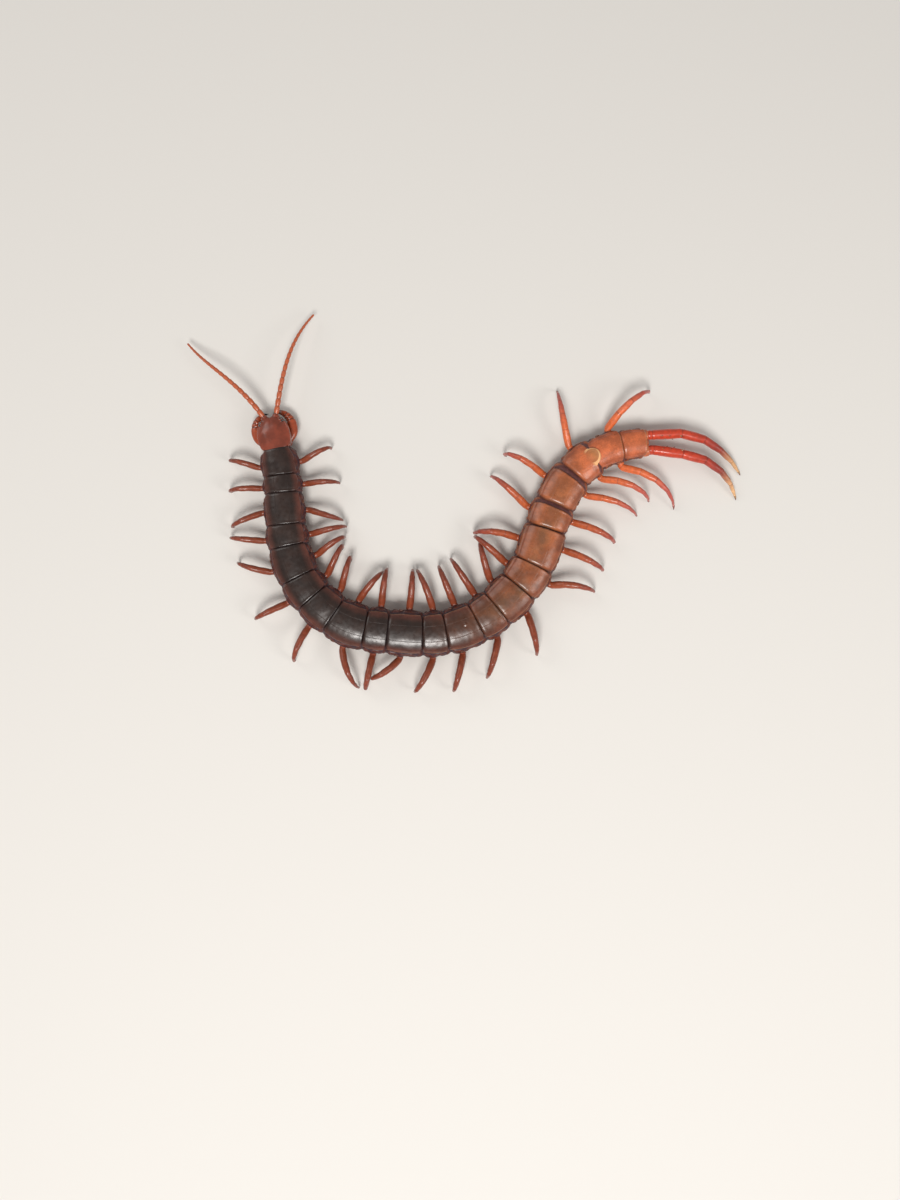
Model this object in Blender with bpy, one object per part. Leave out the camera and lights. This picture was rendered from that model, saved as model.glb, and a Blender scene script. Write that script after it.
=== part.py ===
"""Giant centipede, life size, resting on its feet in a hooked curve.

The trunk is made along a straight body axis and bent onto the centre line. A point of the
body has three sizes: how far it lies behind the front of the head, how far to the animal's
left of its middle, and how high above the floor. All sizes are in millimetres, and become
metres when an object's mesh is made.
"""
import math

import bmesh
import bpy
import numpy as np
from mathutils import Matrix

MM = 0.001
GAP = 0.3

# Centre line of the trunk seen from above, from the front of the head to the tail
SPINE = [
    (-61.4, 27.1), (-59.2, 16.9), (-57.3, 3.0), (-55.5, -13.7), (-51.5, -24.6), (-44.6, -32.9),
    (-36.6, -37.9), (-24.5, -40.3), (-10.0, -41.0), (3.6, -37.1), (13.5, -29.5), (21.0, -19.3),
    (25.0, -7.9), (28.7, 1.4), (35.2, 10.8), (44.6, 16.8), (56.5, 18.9),
]

# The twenty-one trunk segments, first to last
SEGMENT_LENGTHS = [
    8.5, 5.5, 10.0, 6.8, 10.2, 7.7, 8.6, 10.8, 7.1, 11.0, 7.4,
    10.2, 7.6, 9.5, 8.3, 12.1, 8.0, 11.3, 9.1, 8.5, 7.7,
]
HALF_WIDTHS = [
    5.9, 6.1, 6.4, 6.6, 6.8, 6.9, 7.0, 7.2, 7.2, 7.3, 7.2,
    7.2, 7.2, 7.2, 7.1, 7.0, 6.8, 6.6, 6.1, 5.2, 4.8,
]
SEGMENTS_PER_LENGTH = 3
HEAD_LENGTH = 10.5
BACK_HEIGHT = 10.2
WIDEST = 7.2
BELLY_HEIGHT = 2.6
SHIELD_EDGE_DROP = 2.7
SHIELD_RISE = 0.55
SHIELD_THICKNESS = 1.15
JOINT_PINCH = 0.6

# A back plate lengthwise: share of its length, share of the half width, and how far it dips
PLATE_RINGS = [(0.04, 0.87, 0.3), (0.32, 0.99, 0.0), (1.0, 0.96, 0.05)]

# Each back plate ends so many millimetres before the border of its segment, BARE_JOINT where
# none is given
BARE_JOINT = 0.3
BARE_JOINTS = {16: 0.6, 17: 1.45, 18: 1.95}

# Legs
COXA_HEIGHT = 4.4
COXA_RADIUS = 1.3
COXA_REACH = 0.5
TROCHANTER = 0.9
LEG_SHARES = [0.25, 0.21, 0.20, 0.17, 0.10, 0.07]
LEG_LENGTH_STOPS = ([1, 8, 16, 19, 20], [15.0, 18.0, 20.0, 22.5, 25.5])
LEG_GIRTH_STOPS = ([1, 8, 17, 18, 20], [1.0, 1.18, 1.24, 1.14, 1.22])
LEG_SIDES = 6
TOE_RADIUS = 0.24
DROP_SHARES = [0.0, 0.14, 0.42, 0.68, 0.87, 1.0]

# Girth at the root, at each joint and on the first three links, where they swell
LEG_PROFILE = [0.94, 0.90, 1.06, 0.90, 0.98, 0.80, 0.81, 0.60, 0.43, 0.31]
SWELL_SHARE = 0.62

# For each leg, first to twentieth: the share of its segment that its hip lies back, the
# degrees that its foot lies back from straight out, the reach of the foot from the hip and
# the degrees that the leg turns back in plan
LEG_POSES = {
    "left": [
        (0.55, -20, 11.0, 10), (0.55, -2, 11.5, 10), (0.55, 16, 12.0, 0), (0.55, -12, 12.5, -10),
        (0.55, -30, 12.5, -20), (0.55, -8, 12.5, 0), (0.55, 14, 13.0, 20), (0.55, 37, 15.0, 36),
        (0.45, -3, 10.9, -8), (0.40, -38, 10.9, -45), (0.35, -26, 12.2, -31), (0.30, -25, 12.4, -10),
        (0.35, -42, 13.4, -10), (0.55, -28, 14.0, -14), (0.68, 20, 16.0, -40), (0.60, -8, 15.2, -16),
        (0.62, -3, 16.1, -21), (0.72, 13, 19.4, -33), (0.70, 28, 18.6, -45), (0.85, 37, 23.2, -60),
    ],
    "right": [
        (0.55, -16, 11.0, 0), (0.55, 2, 11.5, 10), (0.55, 18, 12.0, -10), (0.55, -4, 12.0, 0),
        (0.50, -14, 10.4, 10), (0.55, -23, 10.6, -10), (0.55, -20, 10.8, -10), (0.50, 15, 12.0, 10),
        (0.55, 1, 12.0, 0), (0.55, 1, 12.6, -20), (0.50, -15, 14.4, -25), (0.50, -3, 13.8, 0),
        (0.55, 1, 14.3, 0), (0.50, 24, 12.3, 18), (0.50, 6, 12.9, 0), (0.55, -9, 14.6, -34),
        (0.55, 18, 16.4, 0), (0.55, -2, 14.6, -19), (0.50, 27, 20.3, 16), (0.70, 60, 19.3, 45),
    ],
}

# The stout last pair of legs, which trails behind the tail
TERMINAL_LINKS = [9.3, 7.5, 6.4, 5.5, 4.5, 1.5]
TERMINAL_TURNS = {"left": [14, 20, 38, 52, 66, 74], "right": [3, 20, 36, 44, 52, 58]}
TERMINAL_PROFILE = [1.0, 0.96, 1.04, 0.91, 0.95, 0.80, 0.80, 0.62, 0.45, 0.28]
TERMINAL_GIRTH = 1.62
TERMINAL_SIDES = 8
TERMINAL_ENTRY = 1.0
TERMINAL_OFFSET = 2.35
TERMINAL_HEIGHT = 5.3
TERMINAL_DROP = 35.0
TAIL_REACH = 0.9

# Head
HEAD_HALF_WIDTH = 5.4
HEAD_FLOOR = 4.7
HEAD_TOP = 9.3
HEAD_FRONT = 0.35
HEAD_FRONT_TOP = 7.4
HEAD_FRONT_WIDTH = 1.7
HEAD_RINGS = [0.0, 0.05, 0.14, 0.3, 0.5, 0.72, 0.9, 1.0]
ANTENNA_ARTICLES = 18
ANTENNA_LENGTH = 35.0
ANTENNA_GIRTH = 0.85
ANTENNA_TIP = 0.2
ANTENNA_ROOT = (-0.1, 2.0, 6.3)
ANTENNA_SPREAD = 24
ANTENNA_BENDS = {"left": (4, 12), "right": (26, -6)}
SOCKET_RADIUS = 1.05
SOCKET_LENGTH = 2.4
EYE_PLACE = (2.15, 3.5, 7.35)
EYE_FACING = (112, 42)
EYE_PAD_RADIUS = 0.95
EYE_PAD_DEPTH = 1.0
EYE_SPACING = 0.55
EYE_RADIUS = 0.36
POCKET_REACH = 1.0

# Poison claws in plan, root to tip, and the outline of half the plate that carries them
FORCIPULE_PATH = [
    (7.0, 4.05), (5.6, 5.2), (3.6, 5.75), (1.6, 5.55), (0.1, 4.75), (-1.0, 3.5), (-1.5, 2.2), (-1.55, 0.75),
]
FORCIPULE_GIRTHS = [1.75, 1.8, 1.65, 1.4, 1.15, 0.85, 0.55, 0.2]
FORCIPULE_HEIGHT = 3.1
FORCIPULE_HALF_THICKNESS = 1.2
BASE_OUTLINE = [(10.35, 0.0), (10.35, 3.9), (8.6, 4.9), (5.4, 2.1), (3.7, 1.9), (3.5, 0.35), (4.4, 0.2)]
BASE_HEIGHTS = (2.0, 4.4)


def centre_line(samples=3000):
    """Natural cubic spline through the spine points: arc length, places and headings."""
    points = np.array(SPINE)
    knots = np.concatenate([[0.0], np.cumsum(np.linalg.norm(np.diff(points, axis=0), axis=1))])
    spans = np.diff(knots)
    count = len(points)
    system = np.eye(count)
    target = np.zeros((count, 2))
    for i in range(1, count - 1):
        system[i, i - 1:i + 2] = spans[i - 1], 2 * (spans[i - 1] + spans[i]), spans[i]
        slope_after = (points[i + 1] - points[i]) / spans[i]
        slope_before = (points[i] - points[i - 1]) / spans[i - 1]
        target[i] = 6 * (slope_after - slope_before)
    bends = np.linalg.solve(system, target)
    along = np.linspace(0, knots[-1], samples)
    i = np.clip(np.searchsorted(knots, along, side="right") - 1, 0, count - 2)
    span = spans[i][:, None]
    before = (knots[i + 1] - along)[:, None] / span
    after = (along - knots[i])[:, None] / span
    sag_before = bends[i] * (before ** 3 - before) * span ** 2 / 6
    sag_after = bends[i + 1] * (after ** 3 - after) * span ** 2 / 6
    line = points[i] * before + points[i + 1] * after + sag_before + sag_after
    steps = np.diff(line, axis=0)
    arc = np.concatenate([[0.0], np.cumsum(np.linalg.norm(steps, axis=1))])
    heading = np.unwrap(np.arctan2(*np.gradient(line, axis=0).T[::-1]))
    return arc, line, heading


ARC, LINE, HEADING = centre_line()


def heading_at(place):
    """Direction towards the tail, in radians, at a distance behind the front of the head."""
    return np.interp(np.clip(place, 0, ARC[-1]), ARC, HEADING)


def bend(points):
    """Moves body points (behind the head's front, to the left, up) onto the centre line."""
    points = np.asarray(points, dtype=float)
    place = points[:, 0]
    on_line = np.clip(place, 0, ARC[-1])
    turn = heading_at(place)
    beyond = place - on_line
    x = np.interp(on_line, ARC, LINE[:, 0]) + beyond * np.cos(turn) + points[:, 1] * np.sin(turn)
    y = np.interp(on_line, ARC, LINE[:, 1]) + beyond * np.sin(turn) - points[:, 1] * np.cos(turn)
    return np.stack([x, y, points[:, 2]], axis=1)


def clear_scene():
    """Removes what the scene holds and returns new collections for parts and for pieces."""
    for item in list(bpy.data.objects):
        bpy.data.objects.remove(item)
    collections = []
    for name in ("giant_centipede", "cutters"):
        collection = bpy.data.collections.new(name)
        bpy.context.scene.collection.children.link(collection)
        collections.append(collection)
    return collections


PARTS, CUTTERS = clear_scene()


def finish(name, colour, roughness):
    """Principled material of one sub-part."""
    material = bpy.data.materials.new(name + "_finish")
    material.use_nodes = True
    shader = material.node_tree.nodes["Principled BSDF"]
    shader.inputs["Base Color"].default_value = (*colour, 1.0)
    shader.inputs["Roughness"].default_value = roughness
    shader.inputs["Metallic"].default_value = 0.0
    return material


CHOCOLATE = ((0.085, 0.035, 0.025), 0.3)
MAHOGANY = ((0.20, 0.055, 0.030), 0.3)
ORANGE = ((0.55, 0.10, 0.035), 0.35)
AMBER = ((0.45, 0.12, 0.03), 0.3)
BLACK = ((0.01, 0.008, 0.008), 0.12)


def outward(bm):
    """Turns the faces of a closed mesh to point out of it."""
    bmesh.ops.recalc_face_normals(bm, faces=bm.faces)
    if bm.calc_volume(signed=True) < 0:
        bmesh.ops.reverse_faces(bm, faces=bm.faces)
    return bm


def loft(rings):
    """Closed mesh through rings with equal numbers of points, capped flat at both ends."""
    bm = bmesh.new()
    loops = [[bm.verts.new(point) for point in ring] for ring in rings]
    count = len(loops[0])
    for near, far in zip(loops, loops[1:]):
        for i in range(count):
            j = (i + 1) % count
            bm.faces.new((near[i], near[j], far[j], far[i]))
    bm.faces.new(loops[0])
    bm.faces.new(loops[-1])
    return outward(bm)


def slab(top, underside):
    """Closed plate between two grids of points, with a rim that joins their edges."""
    bm = bmesh.new()
    sheets = [[[bm.verts.new(point) for point in row] for row in grid] for grid in (top, underside)]
    for sheet in sheets:
        for near, far in zip(sheet, sheet[1:]):
            for i in range(len(near) - 1):
                bm.faces.new((near[i], near[i + 1], far[i + 1], far[i]))
    edges = []
    for sheet in sheets:
        left_side = [row[-1] for row in sheet[1:-1]]
        right_side = [row[0] for row in sheet[1:-1]]
        edges.append(sheet[0] + left_side + sheet[-1][::-1] + right_side[::-1])
    upper, lower = edges
    for i in range(len(upper)):
        j = (i + 1) % len(upper)
        bm.faces.new((upper[i], upper[j], lower[j], lower[i]))
    return outward(bm)


def bent(bm):
    """Splits a mesh into triangles and bends it onto the centre line."""
    bmesh.ops.triangulate(bm, faces=bm.faces)
    places = bend([vertex.co for vertex in bm.verts])
    for vertex, place in zip(bm.verts, places):
        vertex.co = place
    return outward(bm)


def scrap(bm, collection):
    """Object that holds a piece until it is joined or cut."""
    mesh = bpy.data.meshes.new("piece")
    bm.to_mesh(mesh)
    bm.free()
    item = bpy.data.objects.new("piece", mesh)
    collection.objects.link(item)
    item.hide_render = True
    item.display_type = "WIRE"
    return item


def combine(body, pieces, operation):
    """Joins the pieces to the body, or cuts them from it, and keeps the largest surface."""
    if not pieces:
        return body
    group = bpy.data.collections.new("pieces")
    CUTTERS.children.link(group)
    base = scrap(body, CUTTERS)
    for piece in pieces:
        scrap(piece, group)
    boolean = base.modifiers.new("combine", "BOOLEAN")
    boolean.operation = operation
    boolean.operand_type = "COLLECTION"
    boolean.collection = group
    boolean.solver = "EXACT"
    graph = bpy.context.evaluated_depsgraph_get()
    mesh = bpy.data.meshes.new_from_object(base.evaluated_get(graph))
    for item in [base, *group.objects]:
        bpy.data.objects.remove(item)
    bpy.data.collections.remove(group)
    result = bmesh.new()
    result.from_mesh(mesh)
    bpy.data.meshes.remove(mesh)
    keep_largest_surface(result)
    return result


def keep_largest_surface(bm):
    """Deletes every surface but the one with the most faces."""
    waiting = set(bm.verts)
    surfaces = []
    while waiting:
        reached = [waiting.pop()]
        surface = []
        while reached:
            vertex = reached.pop()
            surface.append(vertex)
            for edge in vertex.link_edges:
                other = edge.other_vert(vertex)
                if other in waiting:
                    waiting.remove(other)
                    reached.append(other)
        surfaces.append(surface)
    surfaces.sort(key=len)
    for surface in surfaces[:-1]:
        bmesh.ops.delete(bm, geom=surface, context="VERTS")


def add_part(name, bm, look):
    """Named part with its own material, in metres."""
    bmesh.ops.triangulate(bm, faces=bm.faces)
    for vertex in bm.verts:
        vertex.co *= MM
    mesh = bpy.data.meshes.new(name)
    bm.to_mesh(mesh)
    bm.free()
    mesh.shade_smooth()
    mesh.set_sharp_from_angle(angle=math.radians(50))
    mesh.materials.append(finish(name, *look))
    PARTS.objects.link(bpy.data.objects.new(name, mesh))


def segment_span(number):
    """Where a trunk segment, counted from 1, begins and ends behind the head's front."""
    start = HEAD_LENGTH + sum(SEGMENT_LENGTHS[:number - 1])
    return start, start + SEGMENT_LENGTHS[number - 1]


def back_height(half_width):
    """Height of the back's middle, lower where the trunk is narrower."""
    return BACK_HEIGHT * (half_width / WIDEST) ** 0.35


def shield_height(half_width, share):
    """Height of a back plate at a share of its half width."""
    return back_height(half_width) - SHIELD_EDGE_DROP * abs(share) ** 2.4


def trunk_ring(place, half_width, pinch):
    """Outline of the trunk under its plates, across the body axis."""
    half = [
        (0.0, back_height(half_width) - SHIELD_RISE - pinch),
        (0.42, shield_height(half_width, 0.42) - SHIELD_RISE - pinch),
        (0.74, shield_height(half_width, 0.74) - SHIELD_RISE - pinch),
        (0.89 - 0.05 * pinch, 6.3),
        (0.86 - 0.05 * pinch, 4.2),
        (0.56, BELLY_HEIGHT + 0.1),
        (0.0, BELLY_HEIGHT),
    ]
    left = [(place, share * half_width, height) for share, height in half]
    right = [(place, -y, height) for _, y, height in left[-2:0:-1]]
    return left + right


def back_plate(number):
    """Hard plate over the back of a segment, its sides hanging over the flanks."""
    start, end = segment_span(number)
    half_width = HALF_WIDTHS[number - 1]
    plate_length = end - start - BARE_JOINTS.get(number, BARE_JOINT)
    across = [-1.0, -0.8, -0.42, 0.0, 0.42, 0.8, 1.0]
    grids = ([], [])
    for share, width, dip in PLATE_RINGS:
        place = start + share * plate_length
        for grid, depth in zip(grids, (0.0, 1.0)):
            grid.append([])
            for side in across:
                thickness = depth * (SHIELD_THICKNESS - 0.5 * abs(side))
                height = shield_height(half_width, side) - dip - thickness
                grid[-1].append((place, side * width * half_width, height))
    return slab(*grids)


def belly_plate(number):
    """Flat plate under a segment."""
    start, end = segment_span(number)
    half_width = 0.54 * HALF_WIDTHS[number - 1]
    top = []
    underside = []
    for share, width in ((0.1, 0.9), (0.9, 1.0)):
        place = start + share * (end - start)
        top.append([(place, side * width * half_width, 3.4) for side in (-1, -0.5, 0.5, 1)])
        underside.append([
            (place, side * width * half_width, 2.2 + 0.25 * (abs(side) == 1)) for side in (-1, -0.5, 0.5, 1)
        ])
    return slab(top, underside)


def direction(azimuth, elevation=0.0):
    """Direction of length one along an azimuth and an elevation in radians."""
    level = math.cos(elevation)
    return np.array([level * math.cos(azimuth), level * math.sin(azimuth), math.sin(elevation)])


def ring_across(centre, azimuth, elevation, radius, sides, flatten=1.0):
    """Ring of points round a centre, facing along an azimuth and an elevation."""
    side = np.array([-math.sin(azimuth), math.cos(azimuth), 0.0])
    rise = math.sin(elevation)
    up = np.array([-rise * math.cos(azimuth), -rise * math.sin(azimuth), math.cos(elevation)])
    angles = [2 * math.pi * (i + 0.5) / sides for i in range(sides)]
    return [centre + radius * (math.cos(a) * side + flatten * math.sin(a) * up) for a in angles]


def hip_place(number, side):
    """How far a leg's hip lies behind the front of the head."""
    start, end = segment_span(number)
    poses = LEG_POSES["left" if side > 0 else "right"]
    return start + poses[number - 1][0] * (end - start)


def coxa(number, side):
    """Short boss on the flank that carries a leg."""
    place = hip_place(number, side)
    half_width = HALF_WIDTHS[number - 1]
    azimuth = math.copysign(math.pi / 2, side)
    rings = []
    for share, extra, radius in ((0.62, 0.0, COXA_RADIUS * 1.25), (0.9, COXA_REACH, COXA_RADIUS)):
        centre = np.array([place, side * (share * half_width + extra), COXA_HEIGHT])
        rings.append(ring_across(centre, azimuth, 0.0, radius, 6))
    return loft(rings)


def tail_boss(side):
    """Rear end of the trunk's side, which carries one of the last legs."""
    start, end = segment_span(21)
    rings = []
    for place, radius in ((start + 2.0, 1.7), (end - 1.5, 2.0), (end + TAIL_REACH, TERMINAL_GIRTH)):
        centre = np.array([place, side * TERMINAL_OFFSET, TERMINAL_HEIGHT])
        rings.append(ring_across(centre, 0.0, 0.0, radius, 10))
    return loft(rings)


def trunk_core(first, last):
    """The trunk under its plates, pinched at every joint between two segments."""
    rings = []
    for number in range(first, last + 1):
        start, end = segment_span(number)
        width = HALF_WIDTHS[number - 1]
        before = (width + HALF_WIDTHS[max(number - 2, 0)]) / 2
        shoulder = min(1.0, 0.2 * (end - start))
        border = start + GAP / 2 if number == first else start
        rings.append(trunk_ring(border, before, JOINT_PINCH))
        rings.append(trunk_ring(start + shoulder, width, 0.0))
        rings.append(trunk_ring(end - shoulder, width, 0.0))
    after = HALF_WIDTHS[last] if last < len(HALF_WIDTHS) else width
    rings.append(trunk_ring(end - GAP / 2, (width + after) / 2, JOINT_PINCH))
    return loft(rings)


def trunk_length(first, last):
    """One length of the trunk with its back plates, belly plates and coxae."""
    pieces = []
    for number in range(first, last + 1):
        pieces.append(back_plate(number))
        pieces.append(belly_plate(number))
        if number <= len(LEG_POSES["left"]):
            pieces.extend([coxa(number, 1), coxa(number, -1)])
        else:
            pieces.extend([tail_boss(1), tail_boss(-1)])
    return combine(bent(trunk_core(first, last)), [bent(piece) for piece in pieces], "UNION")


def chain(start, links, azimuths, lift, drop):
    """Joints of a limb whose links sink one after another by shares of a whole drop."""
    joints = [np.array(start, dtype=float)]
    elevations = [lift - drop * share for share in DROP_SHARES]
    for link, azimuth, elevation in zip(links, azimuths, elevations):
        joints.append(joints[-1] + link * direction(azimuth, elevation))
    return joints, elevations


def bisect(low, high, is_low):
    """Value between two limits at which a test changes from true to false."""
    for _ in range(40):
        middle = (low + high) / 2
        if is_low(middle):
            low = middle
        else:
            high = middle
    return low


def land(start, links, azimuths, drop):
    """Lift of a limb's first link that puts its end on the floor."""
    def ends_low(lift):
        return chain(start, links, azimuths, lift, drop)[0][-1][2] < 0
    return bisect(math.radians(-70), math.radians(80), ends_low)


def limb(start, entry, links, azimuths, elevations, joints, girth, profile, sides):
    """Tapering limb: a ring at its root, one at each joint and one on each swollen link."""
    rings = [ring_across(start, *entry, girth * profile[0], sides)]
    turns = [entry] + list(zip(azimuths, elevations))
    sizes = iter(profile[1:])
    for i in range(len(links)):
        azimuth = (turns[i][0] + turns[i + 1][0]) / 2
        elevation = (turns[i][1] + turns[i + 1][1]) / 2
        rings.append(ring_across(joints[i], azimuth, elevation, girth * next(sizes), sides))
        if i < 3:
            swell = joints[i] + SWELL_SHARE * (joints[i + 1] - joints[i])
            rings.append(ring_across(swell, azimuths[i], elevations[i], girth * next(sizes), sides))
    flat = np.array([joints[-1][0], joints[-1][1], 0.0])
    rings.append(ring_across(flat, azimuths[-1], math.radians(-90), TOE_RADIUS, sides))
    return loft(rings)


def leg(number, side, pose):
    """Walking leg from its trochanter to the claw tip that stands on the floor."""
    _, swing, reach, turn = pose
    place = hip_place(number, side)
    half_width = HALF_WIDTHS[number - 1]
    root_y = side * (0.9 * half_width + COXA_REACH + GAP)
    hip = bend([(place, 0.88 * side * half_width, 0)])[0]
    root = bend([(place, root_y, COXA_HEIGHT)])[0]
    knee = bend([(place, root_y + side * TROCHANTER, COXA_HEIGHT)])[0]
    outward = heading_at(place) - side * math.pi / 2
    foot = hip + reach * direction(outward + side * math.radians(swing))
    aim = math.atan2(foot[1] - knee[1], foot[0] - knee[0])
    aim += 2 * math.pi * round((outward - aim) / (2 * math.pi))
    distance = math.hypot(foot[0] - knee[0], foot[1] - knee[1])
    length = np.interp(number, *LEG_LENGTH_STOPS)
    links = [length * share for share in LEG_SHARES]
    bends = [side * math.radians(turn) * (i / (len(links) - 1) - 0.5) for i in range(len(links))]

    def plan(drop, offset):
        azimuths = [aim + offset + bend_angle for bend_angle in bends]
        lift = land(knee, links, azimuths, drop)
        joints, elevations = chain(knee, links, azimuths, lift, drop)
        across = joints[-1][:2] - knee[:2]
        return azimuths, joints, elevations, across

    def reaches_far(drop):
        return np.linalg.norm(plan(drop, 0.0)[3]) > distance
    drop = bisect(0.0, math.radians(200), reaches_far)
    across = plan(drop, 0.0)[3]
    miss = math.atan2(across[1], across[0]) - aim
    miss -= 2 * math.pi * round(miss / (2 * math.pi))
    azimuths, joints, elevations, _ = plan(drop, -miss)
    girth = np.interp(number, *LEG_GIRTH_STOPS)
    return limb(root, (outward, 0.0), links, azimuths, elevations, joints, girth, LEG_PROFILE, LEG_SIDES)


def terminal_leg(side_name, side):
    """One of the stout last legs, which curves back from the tail to the floor."""
    tail_end = segment_span(21)[1] + TAIL_REACH + GAP
    root = bend([(tail_end, side * TERMINAL_OFFSET, TERMINAL_HEIGHT)])[0]
    knee = bend([(tail_end + TERMINAL_ENTRY, side * TERMINAL_OFFSET, TERMINAL_HEIGHT)])[0]
    backward = heading_at(tail_end)
    azimuths = [backward - math.radians(turn) for turn in TERMINAL_TURNS[side_name]]
    drop = math.radians(TERMINAL_DROP)
    lift = land(knee, TERMINAL_LINKS, azimuths, drop)
    joints, elevations = chain(knee, TERMINAL_LINKS, azimuths, lift, drop)
    return limb(root, (backward, 0.0), TERMINAL_LINKS, azimuths, elevations, joints, TERMINAL_GIRTH,
                TERMINAL_PROFILE, TERMINAL_SIDES)


def head_size(share):
    """Half width and top of the head at a share of its length."""
    if share < 0.6:
        width = HEAD_HALF_WIDTH * (1 - (1 - share / 0.6) ** 2.3) ** (1 / 2.3)
    else:
        width = HEAD_HALF_WIDTH * (1 - 0.13 * ((share - 0.6) / 0.4) ** 2)
    rise = 1 - (1 - min(share / 0.55, 1.0)) ** 2
    return max(width, HEAD_FRONT_WIDTH), HEAD_FRONT_TOP + (HEAD_TOP - HEAD_FRONT_TOP) * rise


def head():
    """Head capsule with a socket for each antenna and a pocket for each group of eyes."""
    rings = []
    for share in HEAD_RINGS:
        place = HEAD_FRONT + share * (HEAD_LENGTH - GAP / 2 - HEAD_FRONT)
        width, top = head_size(share)
        rim = HEAD_FLOOR + 0.42 * (top - HEAD_FLOOR)
        half = [(0.0, top), (0.45, top - 0.25), (0.8, top - 1.0), (1.0, rim), (0.86, HEAD_FLOOR + 0.5),
                (0.6, HEAD_FLOOR), (0.0, HEAD_FLOOR)]
        left = [(place, part * width, height) for part, height in half]
        right = [(place, -y, height) for _, y, height in left[-2:0:-1]]
        rings.append(left + right)
    sockets = [antenna_socket(side) for side in (1, -1)]
    capsule = combine(bent(loft(rings)), [bent(socket) for socket in sockets], "UNION")
    pockets = [eye_pad(side, GAP, POCKET_REACH) for side in (1, -1)]
    return combine(capsule, [bent(pocket) for pocket in pockets], "DIFFERENCE")


def antenna_frame(side):
    """Root of an antenna and the azimuth at which it leaves the head."""
    return np.array(ANTENNA_ROOT) * (1, side, 1), math.pi - side * math.radians(ANTENNA_SPREAD)


def antenna_socket(side):
    """Short boss on the front of the head that carries an antenna."""
    root, azimuth = antenna_frame(side)
    ends = [root - SOCKET_LENGTH * direction(azimuth), root]
    return loft([ring_across(end, azimuth, 0.0, SOCKET_RADIUS, 8) for end in ends])


def antenna(side_name, side):
    """Feeler of many short articles that tapers and sinks towards its tip."""
    curl, sway = ANTENNA_BENDS[side_name]
    root, azimuth = antenna_frame(side)
    place = root + GAP * direction(azimuth)
    rings = []
    for i in range(ANTENNA_ARTICLES):
        share = i / (ANTENNA_ARTICLES - 1)
        article = ANTENNA_LENGTH / ANTENNA_ARTICLES * (1.2 - 0.4 * share)
        outward = ANTENNA_SPREAD + curl * share + sway * math.sin(math.pi * share)
        turn = math.pi - side * math.radians(outward)
        rise = math.radians(12 * math.cos(1.3 * math.pi * share) - 9 * share)
        step = direction(turn, rise)
        radius = ANTENNA_GIRTH * (1 - 0.62 * share)
        rings.append(ring_across(place, turn, 0.0 if i == 0 else rise, 0.9 * radius, 6))
        rings.append(ring_across(place + 0.72 * article * step, turn, rise, radius, 6))
        place = place + article * step
    rings.append(ring_across(place, turn, rise, ANTENNA_TIP, 6))
    return loft(rings)


def eye_frame(side):
    """Centre of a group of eyes, and the azimuth and elevation that it faces."""
    azimuth, elevation = EYE_FACING
    return np.array(EYE_PLACE) * (1, side, 1), side * math.radians(azimuth), math.radians(elevation)


def eye_pad(side, grow, reach):
    """Oval pad that the eyes of one side stand on, or the pocket that holds it."""
    centre, azimuth, elevation = eye_frame(side)
    outward = direction(azimuth, elevation)
    radius = EYE_PAD_RADIUS + grow
    ends = (centre - (EYE_PAD_DEPTH + grow) * outward, centre + reach * outward)
    return loft([ring_across(point, azimuth, elevation, radius, 10, 0.9) for point in ends])


def eyes(side):
    """Four small domed eyes on their pad."""
    centre, azimuth, elevation = eye_frame(side)
    sunk = centre - 0.04 * direction(azimuth, elevation)
    domes = []
    for place in ring_across(sunk, azimuth, elevation, EYE_SPACING, 4, 0.85):
        dome = bmesh.new()
        at_place = Matrix.Translation(place)
        bmesh.ops.create_icosphere(dome, subdivisions=1, radius=EYE_RADIUS, matrix=at_place)
        domes.append(dome)
    return combine(bent(eye_pad(side, 0.0, 0.0)), [bent(dome) for dome in domes], "UNION")


def forcipule_base():
    """Broad plate under the head, with two toothed lobes in front."""
    outline = BASE_OUTLINE + [(place, -y) for place, y in BASE_OUTLINE[:0:-1]]
    return bent(loft([[(place, y, height) for place, y in outline] for height in BASE_HEIGHTS]))


def forcipule(side):
    """Poison claw that curves round in front of the mouth."""
    rings = []
    for i, ((place, y), girth) in enumerate(zip(FORCIPULE_PATH, FORCIPULE_GIRTHS)):
        before = FORCIPULE_PATH[max(i - 1, 0)]
        after = FORCIPULE_PATH[min(i + 1, len(FORCIPULE_PATH) - 1)]
        azimuth = side * math.atan2(after[1] - before[1], after[0] - before[0])
        centre = np.array([place, side * y, FORCIPULE_HEIGHT])
        flatten = FORCIPULE_HALF_THICKNESS / max(girth, FORCIPULE_HALF_THICKNESS)
        rings.append(ring_across(centre, azimuth, 0.0, girth, 8, flatten))
    return bent(loft(rings))


def build():
    """Makes every named part of the animal."""
    add_part("head", head(), MAHOGANY)
    add_part("forcipule_base", forcipule_base(), MAHOGANY)
    for first in range(1, len(SEGMENT_LENGTHS) + 1, SEGMENTS_PER_LENGTH):
        number = (first - 1) // SEGMENTS_PER_LENGTH + 1
        last = first + SEGMENTS_PER_LENGTH - 1
        add_part(f"trunk_{number}", trunk_length(first, last), CHOCOLATE)
    for name, side in (("left", 1), ("right", -1)):
        add_part(f"forcipule_{name}", forcipule(side), AMBER)
        add_part(f"eyes_{name}", eyes(side), BLACK)
        add_part(f"antenna_{name}", bent(antenna(name, side)), AMBER)
        for number, pose in enumerate(LEG_POSES[name], start=1):
            add_part(f"leg_{name}_{number:02d}", leg(number, side, pose), ORANGE)
        add_part(f"terminal_leg_{name}", terminal_leg(name, side), ORANGE)


build()
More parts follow.
